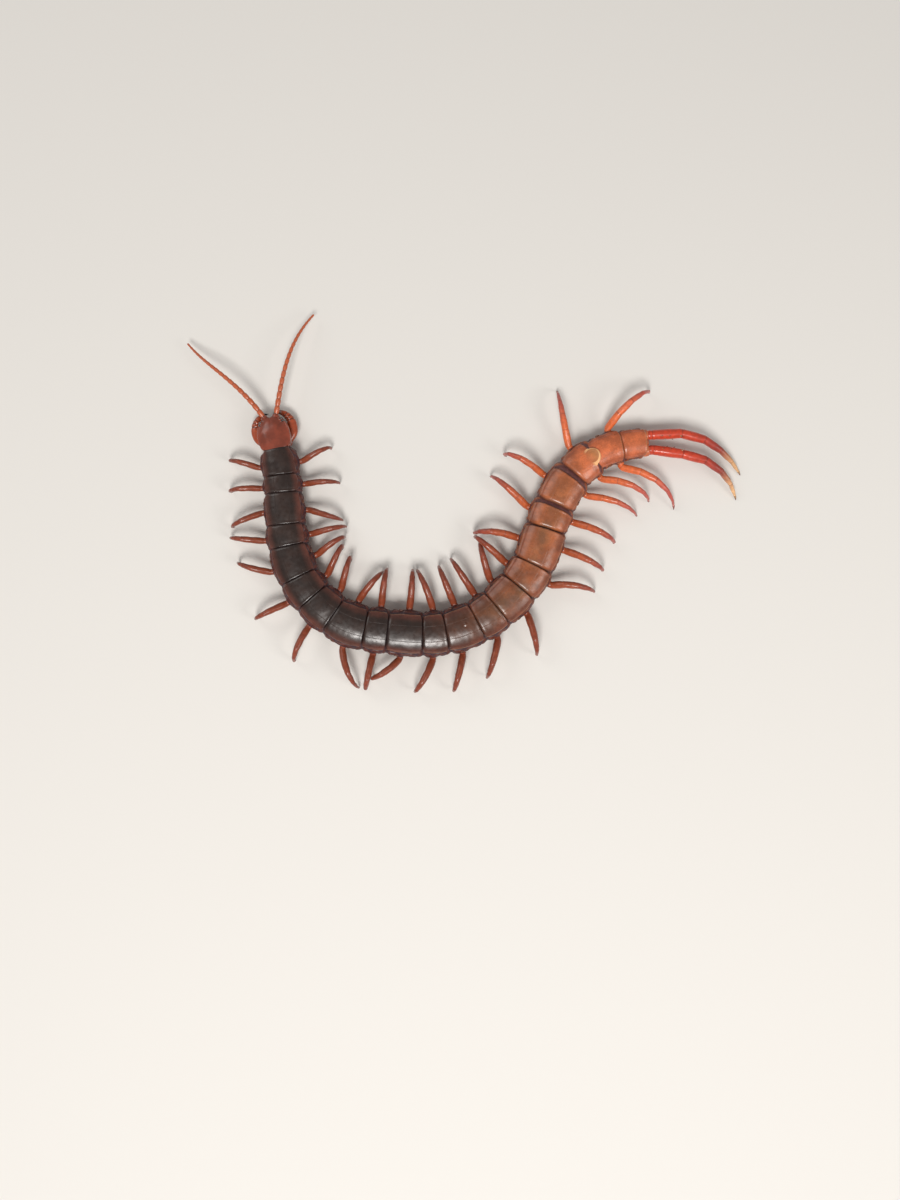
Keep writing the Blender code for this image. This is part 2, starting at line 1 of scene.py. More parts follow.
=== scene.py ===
import math
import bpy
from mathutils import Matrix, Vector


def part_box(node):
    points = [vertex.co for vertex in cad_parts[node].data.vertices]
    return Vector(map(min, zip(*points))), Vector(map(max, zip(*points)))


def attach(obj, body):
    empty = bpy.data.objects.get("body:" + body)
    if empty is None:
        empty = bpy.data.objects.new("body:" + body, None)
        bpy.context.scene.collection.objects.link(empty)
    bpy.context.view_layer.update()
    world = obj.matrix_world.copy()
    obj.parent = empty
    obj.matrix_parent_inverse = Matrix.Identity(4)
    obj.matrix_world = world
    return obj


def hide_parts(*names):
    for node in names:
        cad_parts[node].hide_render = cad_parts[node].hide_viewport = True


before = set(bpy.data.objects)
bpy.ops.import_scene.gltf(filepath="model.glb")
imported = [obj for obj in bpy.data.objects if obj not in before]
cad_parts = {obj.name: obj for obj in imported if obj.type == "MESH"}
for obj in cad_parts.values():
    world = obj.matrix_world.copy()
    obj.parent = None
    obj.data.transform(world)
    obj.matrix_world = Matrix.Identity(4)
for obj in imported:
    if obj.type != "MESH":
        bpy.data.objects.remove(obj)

from types import SimpleNamespace

import bpy
import numpy as np
from bpy.props import FloatProperty, FloatVectorProperty, PointerProperty
from bpy.types import Operator, Panel, PropertyGroup

bl_info = {
    "name": "Giant centipede",
    "version": (1, 0, 0),
    "blender": (4, 5, 0),
    "location": "3D View > Sidebar > Centipede",
    "description": "Dresses the solids of a giant centipede with skin, shell plates and jointed legs",
    "category": "Add Mesh",
}

# Lengths in the functions are millimetres. A point of the body has three sizes: how far it
# lies behind the front of the head, how far to the animal's left, and how high. No spine
# points along the slanted direction, from which the rings of a spine are set out.
MM = 0.001
UP = np.array([0.0, 0.0, 1.0])
SLANTED_UP = np.array([0.31, 0.17, 0.93])
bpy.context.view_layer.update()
SIDES = {"left": 1, "right": -1}

# Centre line of the trunk seen from above, from the front of the head to the tail
SPINE = [
    (-61.4, 27.1), (-59.2, 16.9), (-57.3, 3.0), (-55.5, -13.7), (-51.5, -24.6), (-44.6, -32.9),
    (-36.6, -37.9), (-24.5, -40.3), (-10.0, -41.0), (3.6, -37.1), (13.5, -29.5), (21.0, -19.3),
    (25.0, -7.9), (28.7, 1.4), (35.2, 10.8), (44.6, 16.8), (56.5, 18.9),
]

# The twenty-one trunk segments, first to last
SEGMENT_LENGTHS = [
    8.5, 5.5, 10.0, 6.8, 10.2, 7.7, 8.6, 10.8, 7.1, 11.0, 7.4,
    10.2, 7.6, 9.5, 8.3, 12.1, 8.0, 11.3, 9.1, 8.5, 7.7,
]
HALF_WIDTHS = [
    5.9, 6.1, 6.4, 6.6, 6.8, 6.9, 7.0, 7.2, 7.2, 7.3, 7.2,
    7.2, 7.2, 7.2, 7.1, 7.0, 6.8, 6.6, 6.1, 5.2, 4.8,
]
LAST = len(SEGMENT_LENGTHS)

# The head, the half width at which the back has its full height, and the underside
HEAD_LENGTH = 10.5
WIDEST = 7.2
BORDERS = HEAD_LENGTH + np.concatenate([[0.0], np.cumsum(SEGMENT_LENGTHS)])
WHOLE_LENGTH = BORDERS[-1]
BELLY_HEIGHT = 2.6
TRUNK_NODES = sorted(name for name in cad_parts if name.startswith("trunk_"))

# Each plate ends so many millimetres before the border of its segment, SLIT where none is given
SLIT = 0.1
WIDE_JOINTS = {14: 0.3, 15: 0.3, 16: 0.6, 17: 1.45, 18: 1.95, 19: 1.9}

# Each plate begins TUCK before the border of its segment, and these so much further forward
TUCK = 0.35
EARLY_FRONTS = {20: 1.7}

# Share of the trunk's width that the back plates cover, at some of the segments
PLATE_COVER_STOPS = ([1, 7, 10, 13, 15, 21], [0.88, 0.86, 0.84, 0.86, 0.93, 0.95])

# Shares of its width that a plate has at shares of its length
BACK_WAIST = [(-0.01, 0.93), (0.4, 1.0), (0.8, 1.0), (1.01, 0.975)]
BACK_END_WAISTS = {
    1: [(-0.01, 0.78), (0.45, 0.98), (1.01, 1.0)],
    LAST: [(-0.01, 0.95), (0.35, 1.0), (1.01, 0.92)],
}
BELLY_WAIST = [(-0.01, 0.86), (0.3, 1.0), (0.75, 0.97), (1.01, 0.86)]
BELLY_END_WAISTS = {LAST: [(-0.01, 0.95), (0.3, 1.0), (1.01, 0.6)]}

# Segments with breathing holes, their share of the segment and of its half width, and height
SPIRACLE_SEGMENTS = [3, 5, 8, 10, 12, 14, 16, 18, 20]
SPIRACLE_SHARES = (0.30, 0.955)
SPIRACLE_HEIGHT = 6.55

# One plate has a round lip on its rear edge, and one has a small wart on it
LIPPED_PLATE = 19
LIP_CENTRE = (178.3, 0.0)
LIP_RADIUS = 2.7
WARTED_PLATE = 12
WART_PLACE = (6.8, -0.8)

# Hard patches of the flank in each segment: share of its length, height, the patch's half
# length as a share of the segment, its half height, and how far its rear is raised
FLANK_PATCHES = [
    (0.20, 6.9, 0.15, 0.80, -0.3), (0.58, 7.0, 0.21, 0.62, 0.12), (0.91, 6.8, 0.08, 0.85, 0.5),
    (0.13, 5.2, 0.09, 0.78, 0.6), (0.93, 5.0, 0.09, 0.92, -0.5), (0.37, 5.95, 0.12, 0.36, -0.5),
    (0.74, 5.95, 0.11, 0.42, 0.7), (0.26, 3.9, 0.16, 0.50, 0.2), (0.84, 3.7, 0.13, 0.5, -0.2),
]

# Step between the rings of the skin, how far the pinch of a joint reaches, and half of the
# outline across the trunk, from the middle of the back to the middle of the belly: shares
# of the half width and of the height from the belly to the back
SKIN_STEP = 0.28
PINCH_REACH = 0.85
SKIN_OUTLINE = [
    (0.0, 0.885), (0.24, 0.88), (0.46, 0.862), (0.66, 0.805), (0.80, 0.715), (0.905, 0.62), (0.965, 0.50),
    (0.985, 0.40), (0.95, 0.28), (0.84, 0.14), (0.62, 0.04), (0.30, 0.005), (0.0, 0.0),
]

# Profiles of turned pieces: radius and height above the surface that each grows from
SPIRACLE_PROFILE = [
    (0.46, -0.6), (0.50, 0.0), (0.50, 0.10), (0.45, 0.17), (0.38, 0.17), (0.32, 0.10), (0.28, -0.02),
    (0.12, -0.10),
]
TAIL_PROFILE = [(1.5, -1.6), (1.55, -0.6), (1.5, 0.0), (1.34, 0.45), (1.05, 0.78), (0.7, 0.98), (0.35, 1.07)]
SOCKET_PROFILE = [
    (1.02, -2.4), (1.12, -1.2), (1.14, -0.35), (1.10, -0.12), (1.0, 0.0), (0.88, -0.05), (0.8, -0.25),
    (0.4, -0.3),
]
EYE_SEAT_PROFILE = [
    (1.12, -0.9), (1.16, -0.45), (1.12, -0.2), (1.02, -0.03), (0.84, 0.10), (0.6, 0.18), (0.3, 0.22),
]

# Walking legs: their hips, the shares of the length that the links take, length and girth
# at some of the legs, the shares of the whole drop by which one link after another sinks,
# limits of the first link's lift and of the drop in degrees, and how far the bends beyond
# the first are rounded, as shares of the girth
COXA_HEIGHT = 4.4
COXA_REACH = 0.5
JOINT_GAP = 0.3
TROCHANTER = 0.9
LEG_SHARES = [0.25, 0.21, 0.20, 0.17, 0.10, 0.07]
LEG_LENGTH_STOPS = ([1, 8, 16, 19, 20], [15.0, 18.0, 20.0, 22.5, 25.5])
LEG_GIRTH_STOPS = ([1, 8, 17, 18, 20], [1.0, 1.18, 1.24, 1.14, 1.22])
DROP_SHARES = [0.0, 0.14, 0.42, 0.68, 0.87, 1.0]
LOWEST_LIFT = -70
HIGHEST_LIFT = 80
LARGEST_DROP = 200
WALKING_TRIMS = [0.45, 0.42, 0.36, 0.3]

# For each leg, first to twentieth: the share of its segment that its hip lies back, the
# degrees that its foot lies back from straight out, the reach of the foot from the hip and
# the degrees that the leg turns back in plan
LEG_POSES = {
    "left": [
        (0.55, -20, 11.0, 10), (0.55, -2, 11.5, 10), (0.55, 16, 12.0, 0), (0.55, -12, 12.5, -10),
        (0.55, -30, 12.5, -20), (0.55, -8, 12.5, 0), (0.55, 14, 13.0, 20), (0.55, 37, 15.0, 36),
        (0.45, -3, 10.9, -8), (0.40, -38, 10.9, -45), (0.35, -26, 12.2, -31), (0.30, -25, 12.4, -10),
        (0.35, -42, 13.4, -10), (0.55, -28, 14.0, -14), (0.68, 20, 16.0, -40), (0.60, -8, 15.2, -16),
        (0.62, -3, 16.1, -21), (0.72, 13, 19.4, -33), (0.70, 28, 18.6, -45), (0.85, 37, 23.2, -60),
    ],
    "right": [
        (0.55, -16, 11.0, 0), (0.55, 2, 11.5, 10), (0.55, 18, 12.0, -10), (0.55, -4, 12.0, 0),
        (0.50, -14, 10.4, 10), (0.55, -23, 10.6, -10), (0.55, -20, 10.8, -10), (0.50, 15, 12.0, 10),
        (0.55, 1, 12.0, 0), (0.55, 1, 12.6, -20), (0.50, -15, 14.4, -25), (0.50, -3, 13.8, 0),
        (0.55, 1, 14.3, 0), (0.50, 24, 12.3, 18), (0.50, 6, 12.9, 0), (0.55, -9, 14.6, -34),
        (0.55, 18, 16.4, 0), (0.55, -2, 14.6, -19), (0.50, 27, 20.3, 16), (0.70, 60, 19.3, 45),
    ],
}

# The stout last pair of legs, which trails behind the tail: lengths of the links, degrees by
# which each turns to the animal's left, how far the bends are rounded, girth, distance from
# the middle, height, and the whole drop in degrees
TERMINAL_LINKS = [9.3, 7.5, 6.4, 5.5, 4.5, 1.5]
TERMINAL_TURNS = {"left": [14, 20, 38, 52, 66, 74], "right": [3, 20, 36, 44, 52, 58]}
TERMINAL_TRIMS = [0.9, 0.75, 0.7, 0.6, 0.5]
TERMINAL_GIRTH = 1.62
TERMINAL_OFFSET = 2.35
TERMINAL_HEIGHT = 5.3
TERMINAL_DROP = 35.0
TERMINAL_TROCHANTER = 1.0
TAIL_BOSS_END = WHOLE_LENGTH + 0.9

# Spines of a last leg: share of the length that they stand on and degrees above level
THIGH_SPINES = [
    (0.30, 70), (0.55, 62), (0.42, 18), (0.66, 8), (0.94, 52), (0.36, -38), (0.62, -42), (0.50, -80),
    (0.76, -84),
]

# Girth of each length of a limb where it begins, where it swells and at its far rim, as
# shares of the limb's own girth: trochanter, prefemur, femur, tibia and the two tarsi.
# The root stops give the trochanter's girth at places counted in lengths.
WALKING_GIRTHS = [
    (0.84, 0.98, 0.96), (0.93, 1.06, 1.0), (0.95, 0.97, 0.87), (0.83, 0.78, 0.64),
    (0.60, 0.53, 0.42), (0.39, 0.34, 0.22),
]
WALKING_ROOT = [
    (0.0, 0.5), (0.25, 0.72), (0.45, 0.92), (0.58, 1.02), (0.66, 1.0), (0.72, 0.93), (0.76, 0.88),
    (0.83, 0.98), (0.93, 0.95),
]
TERMINAL_GIRTHS = [
    (0.94, 1.03, 1.0), (0.96, 1.06, 1.0), (0.94, 0.97, 0.89), (0.83, 0.80, 0.71),
    (0.65, 0.60, 0.49), (0.45, 0.38, 0.24),
]
TERMINAL_ROOT = [(0.0, 0.95), (0.4, 0.98), (0.52, 0.9), (0.7, 1.0), (0.9, 0.98)]

# Head: the share of its length where it is widest, its half width there, the height of its
# underside, and the height, place and half width of its front
HEAD_WIDEST = 0.6
HEAD_HALF_WIDTH = 5.4
HEAD_FLOOR = 4.7
HEAD_FRONT_TOP = 7.4
HEAD_FRONT = 0.35
HEAD_FRONT_WIDTH = 1.7

# Feelers: number of articles, length, root, degrees outward from straight ahead, degrees by
# which each curls outward at its tip and in its middle, and girth along one article
ANTENNA_ARTICLES = 18
ANTENNA_LENGTH = 35.0
ANTENNA_ROOT = (-0.1, 2.0, 6.3)
ANTENNA_SPREAD = 24
ANTENNA_BENDS = {"left": (4, 12), "right": (26, -6)}
ANTENNA_BARREL = [
    (0.0, 0.80), (0.10, 0.86), (0.28, 0.97), (0.62, 1.02), (0.85, 0.98), (0.94, 0.90), (1.0, 0.79),
]

# Eyes: middle of a group, and the degrees round from the tail and upward that it looks
EYE_PLACE = (2.15, 3.5, 7.35)
EYE_FACING = (112, 42)

# Poison claws: height, shares of the length that the joints lie at, and middle line in plan
# with the girth there
FORCIPULE_HEIGHT = 3.1
FORCIPULE_JOINTS = (0.54, 0.61, 0.68)
FORCIPULE_PATH = [
    (8.7, 2.3, 0.4), (8.3, 2.75, 0.95), (7.4, 3.7, 1.6), (5.6, 5.2, 1.8), (3.6, 5.75, 1.65),
    (1.6, 5.55, 1.4), (0.1, 4.75, 1.15), (-1.0, 3.5, 0.85), (-1.5, 2.2, 0.55), (-1.55, 0.75, 0.07),
]

# Palps: middle line, and girth at places counted in lengths, as shares of their own
PALP_PATH = [(6.0, 2.4, 4.75), (3.6, 2.9, 4.65), (1.7, 2.2, 4.5), (0.75, 1.0, 4.45)]
PALP_GIRTHS = [
    (0, 0.9), (0.5, 1.0), (0.95, 0.9), (1, 0.8), (1.1, 0.92), (1.6, 1.0), (1.95, 0.85), (2, 0.75),
    (2.2, 0.9), (3, 0.55),
]

# Shades of the shell beside the colours of the panel
OLIVE = (0.165, 0.095, 0.042)
LIP_OLIVE = (0.36, 0.19, 0.065)
RUSSET = (0.17, 0.045, 0.028)
# Painted shade for the seams between the plates
SEAM_SHADE = (0.012, 0.006, 0.008)
SPECK = (0.66, 0.36, 0.2)

# Stage, in metres but for the camera's lens and sensor: floor, camera, sky and the soft
# lights, each with its place, its edge and its power in watts
FLOOR_EDGE = 6.0
FLOOR_GAP = 0.0002
CAMERA_PLACE = (-0.00504, -0.03043, 0.288)
CAMERA_LENS = 27.0
CAMERA_SENSOR = 36.0
NEAREST_SEEN = 0.01
LIT_POINT = (0.0, -0.01, 0.0)
LAMP_COLOUR = (1.0, 0.965, 0.93)
SKY_COLOUR = (1.0, 0.985, 0.97, 1.0)
SKY_STRENGTH = 0.32
LIGHTS = {
    "key": ((-0.07, -0.46, 0.78), 0.3, 6.6),
    "fill": ((-0.7, 0.5, 0.7), 0.6, 2.2),
    "side": ((0.55, -0.3, 0.55), 0.3, 1.5),
}


def length(name, description, size):
    """Property of a length given in millimetres."""
    return FloatProperty(name=name, description=description, default=size * MM, unit="LENGTH",
                         subtype="DISTANCE", precision=5)


def paint(name, description, red, green, blue):
    """Property of a colour given as screen values from 0 to 255."""
    levels = [((level / 255 + 0.055) / 1.055) ** 2.4 for level in (red, green, blue)]
    return FloatVectorProperty(name=name, description=description, default=levels, subtype="COLOR",
                               min=0.0, max=1.0)


class TrunkSizes(PropertyGroup):
    """Sizes of the trunk's skin and plates."""
    back_height: length("Back height", "Height of the widest back plate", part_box("trunk_3")[1].z / MM - 0.05)
    edge_drop: length("Edge drop", "How far a back plate falls from its middle to its side", 2.7)
    plate_thickness: length("Plate thickness", "Thickness of a back plate", 0.42)
    rim: length("Rim", "Width over which a plate's edge is rounded", 0.22)
    ridge: length("Side ridge", "Height of the ridge along the sides of the back plates", 0.1)
    suture: length("Suture depth", "Depth of the two lengthwise grooves of a plate", 0.032)
    pinch: length("Joint pinch", "How far the skin sinks between two segments", 0.55)
    fold: length("Fold depth", "Depth of the folds in the skin of the flanks", 0.12)
    patch: length("Flank patches", "How far the hard patches of the flanks stand out", 0.2)


class HeadSizes(PropertyGroup):
    """Sizes of the head and what it carries."""
    top: length("Head height", "Height of the top of the head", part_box("head")[1].z / MM)
    shield: length("Shield thickness", "Thickness of the shield over the head", 0.42)
    eye: length("Eye radius", "Radius of one simple eye", 0.34)
    antenna: length("Feeler girth", "Radius of a feeler at its root", 0.85)
    tooth: length("Tooth length", "Length of a tooth on the base of the poison claws", 0.55)


class LegSizes(PropertyGroup):
    """Sizes of the claws and spines that the legs carry."""
    claw_root: length("Claw root", "Radius of a claw at its root", 0.30)
    claw_tip: length("Claw tip", "Radius of a claw at its tip", 0.06)
    spur: length("Spur length", "Length of the spur under a foot", 0.5)
    spine: length("Spine length", "Length of a spine on the last legs", 0.75)


class Colours(PropertyGroup):
    """Colours of the animal and of the floor it rests on."""
    # The fall from the bright tail shell to the dark front shell is partly the animal's own colour and partly
    # painted shade
    front_shell: paint("Front shell", "Back plates of the front half", 38, 21, 14)
    tail_shell: paint("Tail shell", "Back plates of the last third", 164, 90, 50)
    last_shell: paint("Last shell", "The last back plates", 192, 100, 60)
    head_shell: paint("Head shell", "Shield over the head", 118, 52, 34)
    # Pale rim: partly the lip's own colour and partly painted highlight; also the colour of the painted
    # highlight lines on the plate rims
    pale_rim: paint("Pale rim", "Raised hind lip of one back plate", 232, 176, 122)
    membrane: paint("Membrane", "Skin between the plates", 58, 36, 44)
    tail_membrane: paint("Tail membrane", "Skin of the last third", 92, 52, 50)
    belly: paint("Belly", "Plates under the trunk", 150, 104, 66)
    leg_root: paint("Leg root", "First lengths of the hind legs", 212, 106, 60)
    leg_tip: paint("Leg tip", "Last lengths of the legs", 180, 84, 74)
    leg_end: paint("Leg end", "Feet of the hind legs", 182, 122, 114)
    # Darker front legs: partly their own colour, partly painted shade
    leg_front: paint("Front legs", "What the legs of the front half lean to", 114, 54, 36)
    last_root: paint("Last leg root", "First lengths of the last legs", 190, 64, 40)
    last_middle: paint("Last leg middle", "Middle lengths of the last legs", 140, 54, 46)
    last_tip: paint("Last leg tip", "Tips of the last legs", 216, 170, 124)
    feeler: paint("Feeler", "Feelers", 178, 88, 52)
    fang: paint("Fang", "Poison claws", 150, 66, 36)
    claw: paint("Claw", "Claws, spines and teeth", 24, 14, 12)
    eye: paint("Eye", "Simple eyes", 9, 8, 10)
    floor: paint("Floor", "Plain floor", 214, 212, 208)


def sizes_of(group):
    """The values of a property group, with lengths in millimetres."""
    values = {}
    for name in type(group).__annotations__:
        is_length = group.bl_rna.properties[name].unit == "LENGTH"
        values[name] = getattr(group, name) / MM if is_length else getattr(group, name)
    return SimpleNamespace(**values)


def both(maker, *values):
    """What a function makes for the left side and for the right."""
    return [maker(side, *values) for side in SIDES.values()]


def together(*values):
    """Points or marks from three arrays or numbers, stretched to one shape."""
    return np.stack(np.broadcast_arrays(*values), axis=-1)


def unit(vectors):
    """Vectors of length one."""
    return vectors / np.linalg.norm(vectors, axis=-1, keepdims=True)


def hump(values, centre, width):
    """One at a value, falling smoothly to nothing away from it."""
    return np.exp(-((values - centre) / width) ** 2)


def eased(values, stops):
    """Smooth steps between stops, level at each stop."""
    places, heights = np.array(stops, dtype=float).T
    i = np.clip(np.searchsorted(places, values, side="right") - 1, 0, len(places) - 2)
    share = np.clip((values - places[i]) / (places[i + 1] - places[i]), 0, 1)
    return heights[i] + (heights[i + 1] - heights[i]) * share * share * (3 - 2 * share)


def ripple(points, wavelength, seed, waves=7):
    """Smooth irregular waves, from about -1 to 1, over points in millimetres."""
    draw = np.random.default_rng(seed)
    total = 0.0
    for _ in range(waves):
        direction = unit(draw.normal(size=3))
        turns = points @ direction / (wavelength * draw.uniform(0.7, 1.5))
        total = total + np.sin(2 * math.pi * (turns + draw.uniform()))
    return total / (waves / 2)


def centre_line(samples=3000):
    """Natural cubic spline through the spine points: arc length, places and headings."""
    points = np.array(SPINE)
    knots = np.concatenate([[0.0], np.cumsum(np.linalg.norm(np.diff(points, axis=0), axis=1))])
    spans = np.diff(knots)
    count = len(points)
    system = np.eye(count)
    target = np.zeros((count, 2))
    slopes = np.diff(points, axis=0) / spans[:, None]
    for i in range(1, count - 1):
        system[i, i - 1:i + 2] = spans[i - 1], 2 * (spans[i - 1] + spans[i]), spans[i]
        target[i] = 6 * (slopes[i] - slopes[i - 1])
    bends = np.linalg.solve(system, target)
    along = np.linspace(0, knots[-1], samples)
    i = np.clip(np.searchsorted(knots, along, side="right") - 1, 0, count - 2)
    span = spans[i][:, None]
    before = (knots[i + 1] - along)[:, None] / span
    after = (along - knots[i])[:, None] / span
    sag = bends[i] * (before ** 3 - before) + bends[i + 1] * (after ** 3 - after)
    line = points[i] * before + points[i + 1] * after + sag * span ** 2 / 6
    arc = np.concatenate([[0.0], np.cumsum(np.linalg.norm(np.diff(line, axis=0), axis=1))])
    heading = np.unwrap(np.arctan2(*np.gradient(line, axis=0).T[::-1]))
    return arc, line, heading


ARC, LINE, HEADING = centre_line()


def heading_at(place):
    """Direction towards the tail, in radians, at a distance behind the front of the head."""
    return np.interp(np.clip(place, 0, ARC[-1]), ARC, HEADING)


def bend(points):
    """Moves body points (behind the head's front, to the left, up) onto the centre line."""
    points = np.asarray(points, dtype=float)
    place, aside, height = (points[..., i] for i in range(3))
    on_line = np.clip(place, 0, ARC[-1])
    turn = heading_at(place)
    beyond = place - on_line
    x = np.interp(on_line, ARC, LINE[:, 0]) + beyond * np.cos(turn) + aside * np.sin(turn)
    y = np.interp(on_line, ARC, LINE[:, 1]) + beyond * np.sin(turn) - aside * np.cos(turn)
    return together(x, y, height)


def face_outward(points, faces):
    """The faces of a closed surface, all turned round where they point inwards."""
    triples = np.array([(f[0], f[i], f[i + 1]) for f in faces for i in range(1, len(f) - 1)])
    a, b, c = (points[triples[:, i]] - points.mean(axis=0) for i in range(3))
    inside_out = np.einsum("ij,ij->", a, np.cross(b, c)) < 0
    return [face[::-1] for face in faces] if inside_out else faces


def bent(surface):
    """Closed surface moved onto the centre line."""
    points, faces, marks = surface
    points = bend(points)
    return points, face_outward(points, faces), marks


def tube(rings, marks):
    """Closed surface through rings of points, with a point at the middle of each end."""
    count, sides = rings.shape[:2]
    index = np.arange(count * sides).reshape(count, sides)
    turned_on = np.roll(index, -1, axis=1)
    walls = np.stack([index[:-1], turned_on[:-1], turned_on[1:], index[1:]], axis=-1)
    near, far = count * sides, count * sides + 1
    faces = walls.reshape(-1, 4).tolist()
    faces += [(b, a, near) for a, b in zip(index[0].tolist(), turned_on[0].tolist())]
    faces += [(a, b, far) for a, b in zip(index[-1].tolist(), turned_on[-1].tolist())]
    points, marks = (np.vstack([rows.reshape(-1, 3), rows[0].mean(axis=0), rows[-1].mean(axis=0)])
                     for rows in (rings, marks))
    return points, face_outward(points, faces), marks


def smooth_steps(before, start, end, beyond, steps):
    """Steps of smooth curves from corners to the next, with the corners before and beyond."""
    share = (np.arange(steps) / steps)[:, None]
    before, start, end, beyond = (corners[..., None, :] for corners in (before, start, end, beyond))
    first = (end - before) * share
    second = (2 * before - 5 * start + 4 * end - beyond) * share ** 2
    third = (3 * start - before - 3 * end + beyond) * share ** 3
    return (2 * start + first + second + third) / 2


def smooth_rings(half):
    """Closed smooth curves through rings, from the corners of their left halves."""
    half = np.stack(half, axis=1)
    corners = np.concatenate([half, half[:, -2:0:-1] * (1, -1, 1)], axis=1)
    curve = smooth_steps(*(np.roll(corners, turn, axis=1) for turn in (1, 0, -1, -2)), 5)
    return curve.reshape(len(corners), -1, 3)


def rounded_path(corners, trims, spacing):
    """Points, directions and link counts along a path whose corners are rounded."""
    corners = np.array(corners)
    spans = np.linalg.norm(np.diff(corners, axis=0), axis=1)
    headings = np.diff(corners, axis=0) / spans[:, None]
    trims = [0.0, *trims, 0.0]
    samples = []
    for i, (span, heading) in enumerate(zip(spans, headings)):
        for share in np.arange(1, 9) / 9 if i else ():
            back = headings[i - 1]
            swing = trims[i] * (share ** 2 * heading - (1 - share) ** 2 * back)
            nearest = span if share > 0.5 else spans[i - 1]
            count = i + (2 * share - 1) * trims[i] / nearest
            samples.append((corners[i] + swing, (1 - share) * back + share * heading, count))
        steps = max(3, round((span - trims[i] - trims[i + 1]) / spacing))
        for distance in np.linspace(trims[i], span - trims[i + 1], steps):
            samples.append((corners[i] + distance * heading, heading, i + distance / span))
    points, directions, counts = zip(*samples)
    return np.array(points), unit(np.array(directions)), np.array(counts)


def domed(points, directions, radii, counts):
    """Adds a round end to a path."""
    shares = np.sin(np.linspace(0, math.pi / 2, 5)[1:-1])
    ends = points[-1] + np.outer(shares * radii[-1] * 0.8, directions[-1])
    points = np.vstack([points, ends])
    directions = np.vstack([directions, np.repeat(directions[-1:], len(shares), axis=0)])
    radii = np.concatenate([radii, radii[-1] * np.sqrt(1 - shares ** 2)])
    return points, directions, radii, np.concatenate([counts, np.repeat(counts[-1:], len(shares))])


def rings_along(points, directions, radii, sides, up=UP, flatten=1.0):
    """Rings of points round a path, with how far up its limb each point faces."""
    angles = 2 * math.pi * np.arange(sides) / sides
    rings = []
    for point, direction, radius in zip(points, directions, radii):
        up = unit(up - direction * (up @ direction))
        side = np.cross(direction, up)
        offsets = np.outer(np.cos(angles) * flatten, side) + np.outer(np.sin(angles), up)
        rings.append(point + radius * offsets)
    return np.array(rings), np.sin(angles)


def spike(root, tip, radius, sides=12, curve=None, mark=0.0, tip_radius=0.03):
    """Tapered spine, straight or curved, whose root is sunk in what it grows from."""
    root, tip = np.array(root, dtype=float), np.array(tip, dtype=float)
    control = (root + tip) / 2 if curve is None else np.array(curve, dtype=float)
    shares = np.linspace(0, 1, 11)[:, None]
    points = (1 - shares) ** 2 * root + 2 * shares * (1 - shares) * control + shares ** 2 * tip
    directions = unit((1 - shares) * (control - root) + shares * (tip - control))
    radii = tip_radius + (radius - tip_radius) * (1 - shares[:, 0] ** 1.4)
    rings, _ = rings_along(points, directions, radii, sides, SLANTED_UP)
    return tube(rings, together(shares, np.full(sides, 0.5), mark))


def turned(centre, axis, along, profile, sides, stretch=(1.0, 1.0), mark=0.0):
    """Round or oval piece turned about an axis, from its sunk base to its middle."""
    side = unit(along - axis * (along @ axis))
    other = np.cross(axis, side)
    angles = 2 * math.pi * np.arange(sides) / sides
    circle = np.outer(np.cos(angles) * stretch[0], side) + np.outer(np.sin(angles) * stretch[1], other)
    rings = np.array([centre + radius * circle + height * axis for radius, height in profile])
    return tube(rings, together(np.linspace(0, 1, len(profile))[:, None], np.zeros(sides), mark))


def plate_grid(size, width, rim, rows, columns, extra=()):
    """Places across a plate from -1 to 1 and along it from 0 to 1, close together over its
    rounded rims, and how much of its full thickness it has there."""
    shares, depths = [], []
    for reach, count, more in ((size, rows, ()), (width, columns, extra)):
        bow = (1 - np.cos(np.linspace(0, math.pi / 2, 6)[:-1])) * rim / reach
        inner = np.linspace(rim / reach, 1 - rim / reach, count)
        share = np.unique(np.round(np.concatenate([bow, inner, 1 - bow, more]), 6))
        depth = np.clip(np.minimum(share, 1 - share) * reach / rim, 0, 1)
        shares.append(share)
        depths.append(np.sqrt(1 - (1 - depth) ** 2))
    u, v = np.broadcast_arrays(2 * shares[1] - 1, shares[0][:, None])
    return u, v, depths[0][:, None] * depths[1]


def thick_plate(face, full, thickness, relief, marks, facing_up=1):
    """Plate whose outer face follows a grid and whose edges close, on the centre line."""
    normals = unit(np.cross(np.gradient(face, axis=0), np.gradient(face, axis=1)))
    normals = normals * np.sign(normals[..., 2:]) * facing_up
    middle = face - normals * thickness / 2
    half = (full * thickness / 2)[..., None] * normals
    outer = bend(middle + half + (full * relief)[..., None] * normals)
    inner = bend(middle - half)
    rows, columns = face.shape[:2]
    upper = np.arange(rows * columns).reshape(rows, columns)
    lower = upper.copy()
    lower[1:-1, 1:-1] = rows * columns + np.arange((rows - 2) * (columns - 2)).reshape(rows - 2, -1)
    faces = []
    for grid, step in ((upper, 1), (lower, -1)):
        quads = [grid[:-1, :-1], grid[1:, :-1], grid[1:, 1:], grid[:-1, 1:]][::step]
        faces += np.stack(quads, axis=-1).reshape(-1, 4).tolist()
    points = np.vstack([outer.reshape(-1, 3), inner[1:-1, 1:-1].reshape(-1, 3)])
    marks = np.vstack([marks.reshape(-1, 3), marks[1:-1, 1:-1].reshape(-1, 3)])
    return points, face_outward(points, faces), marks


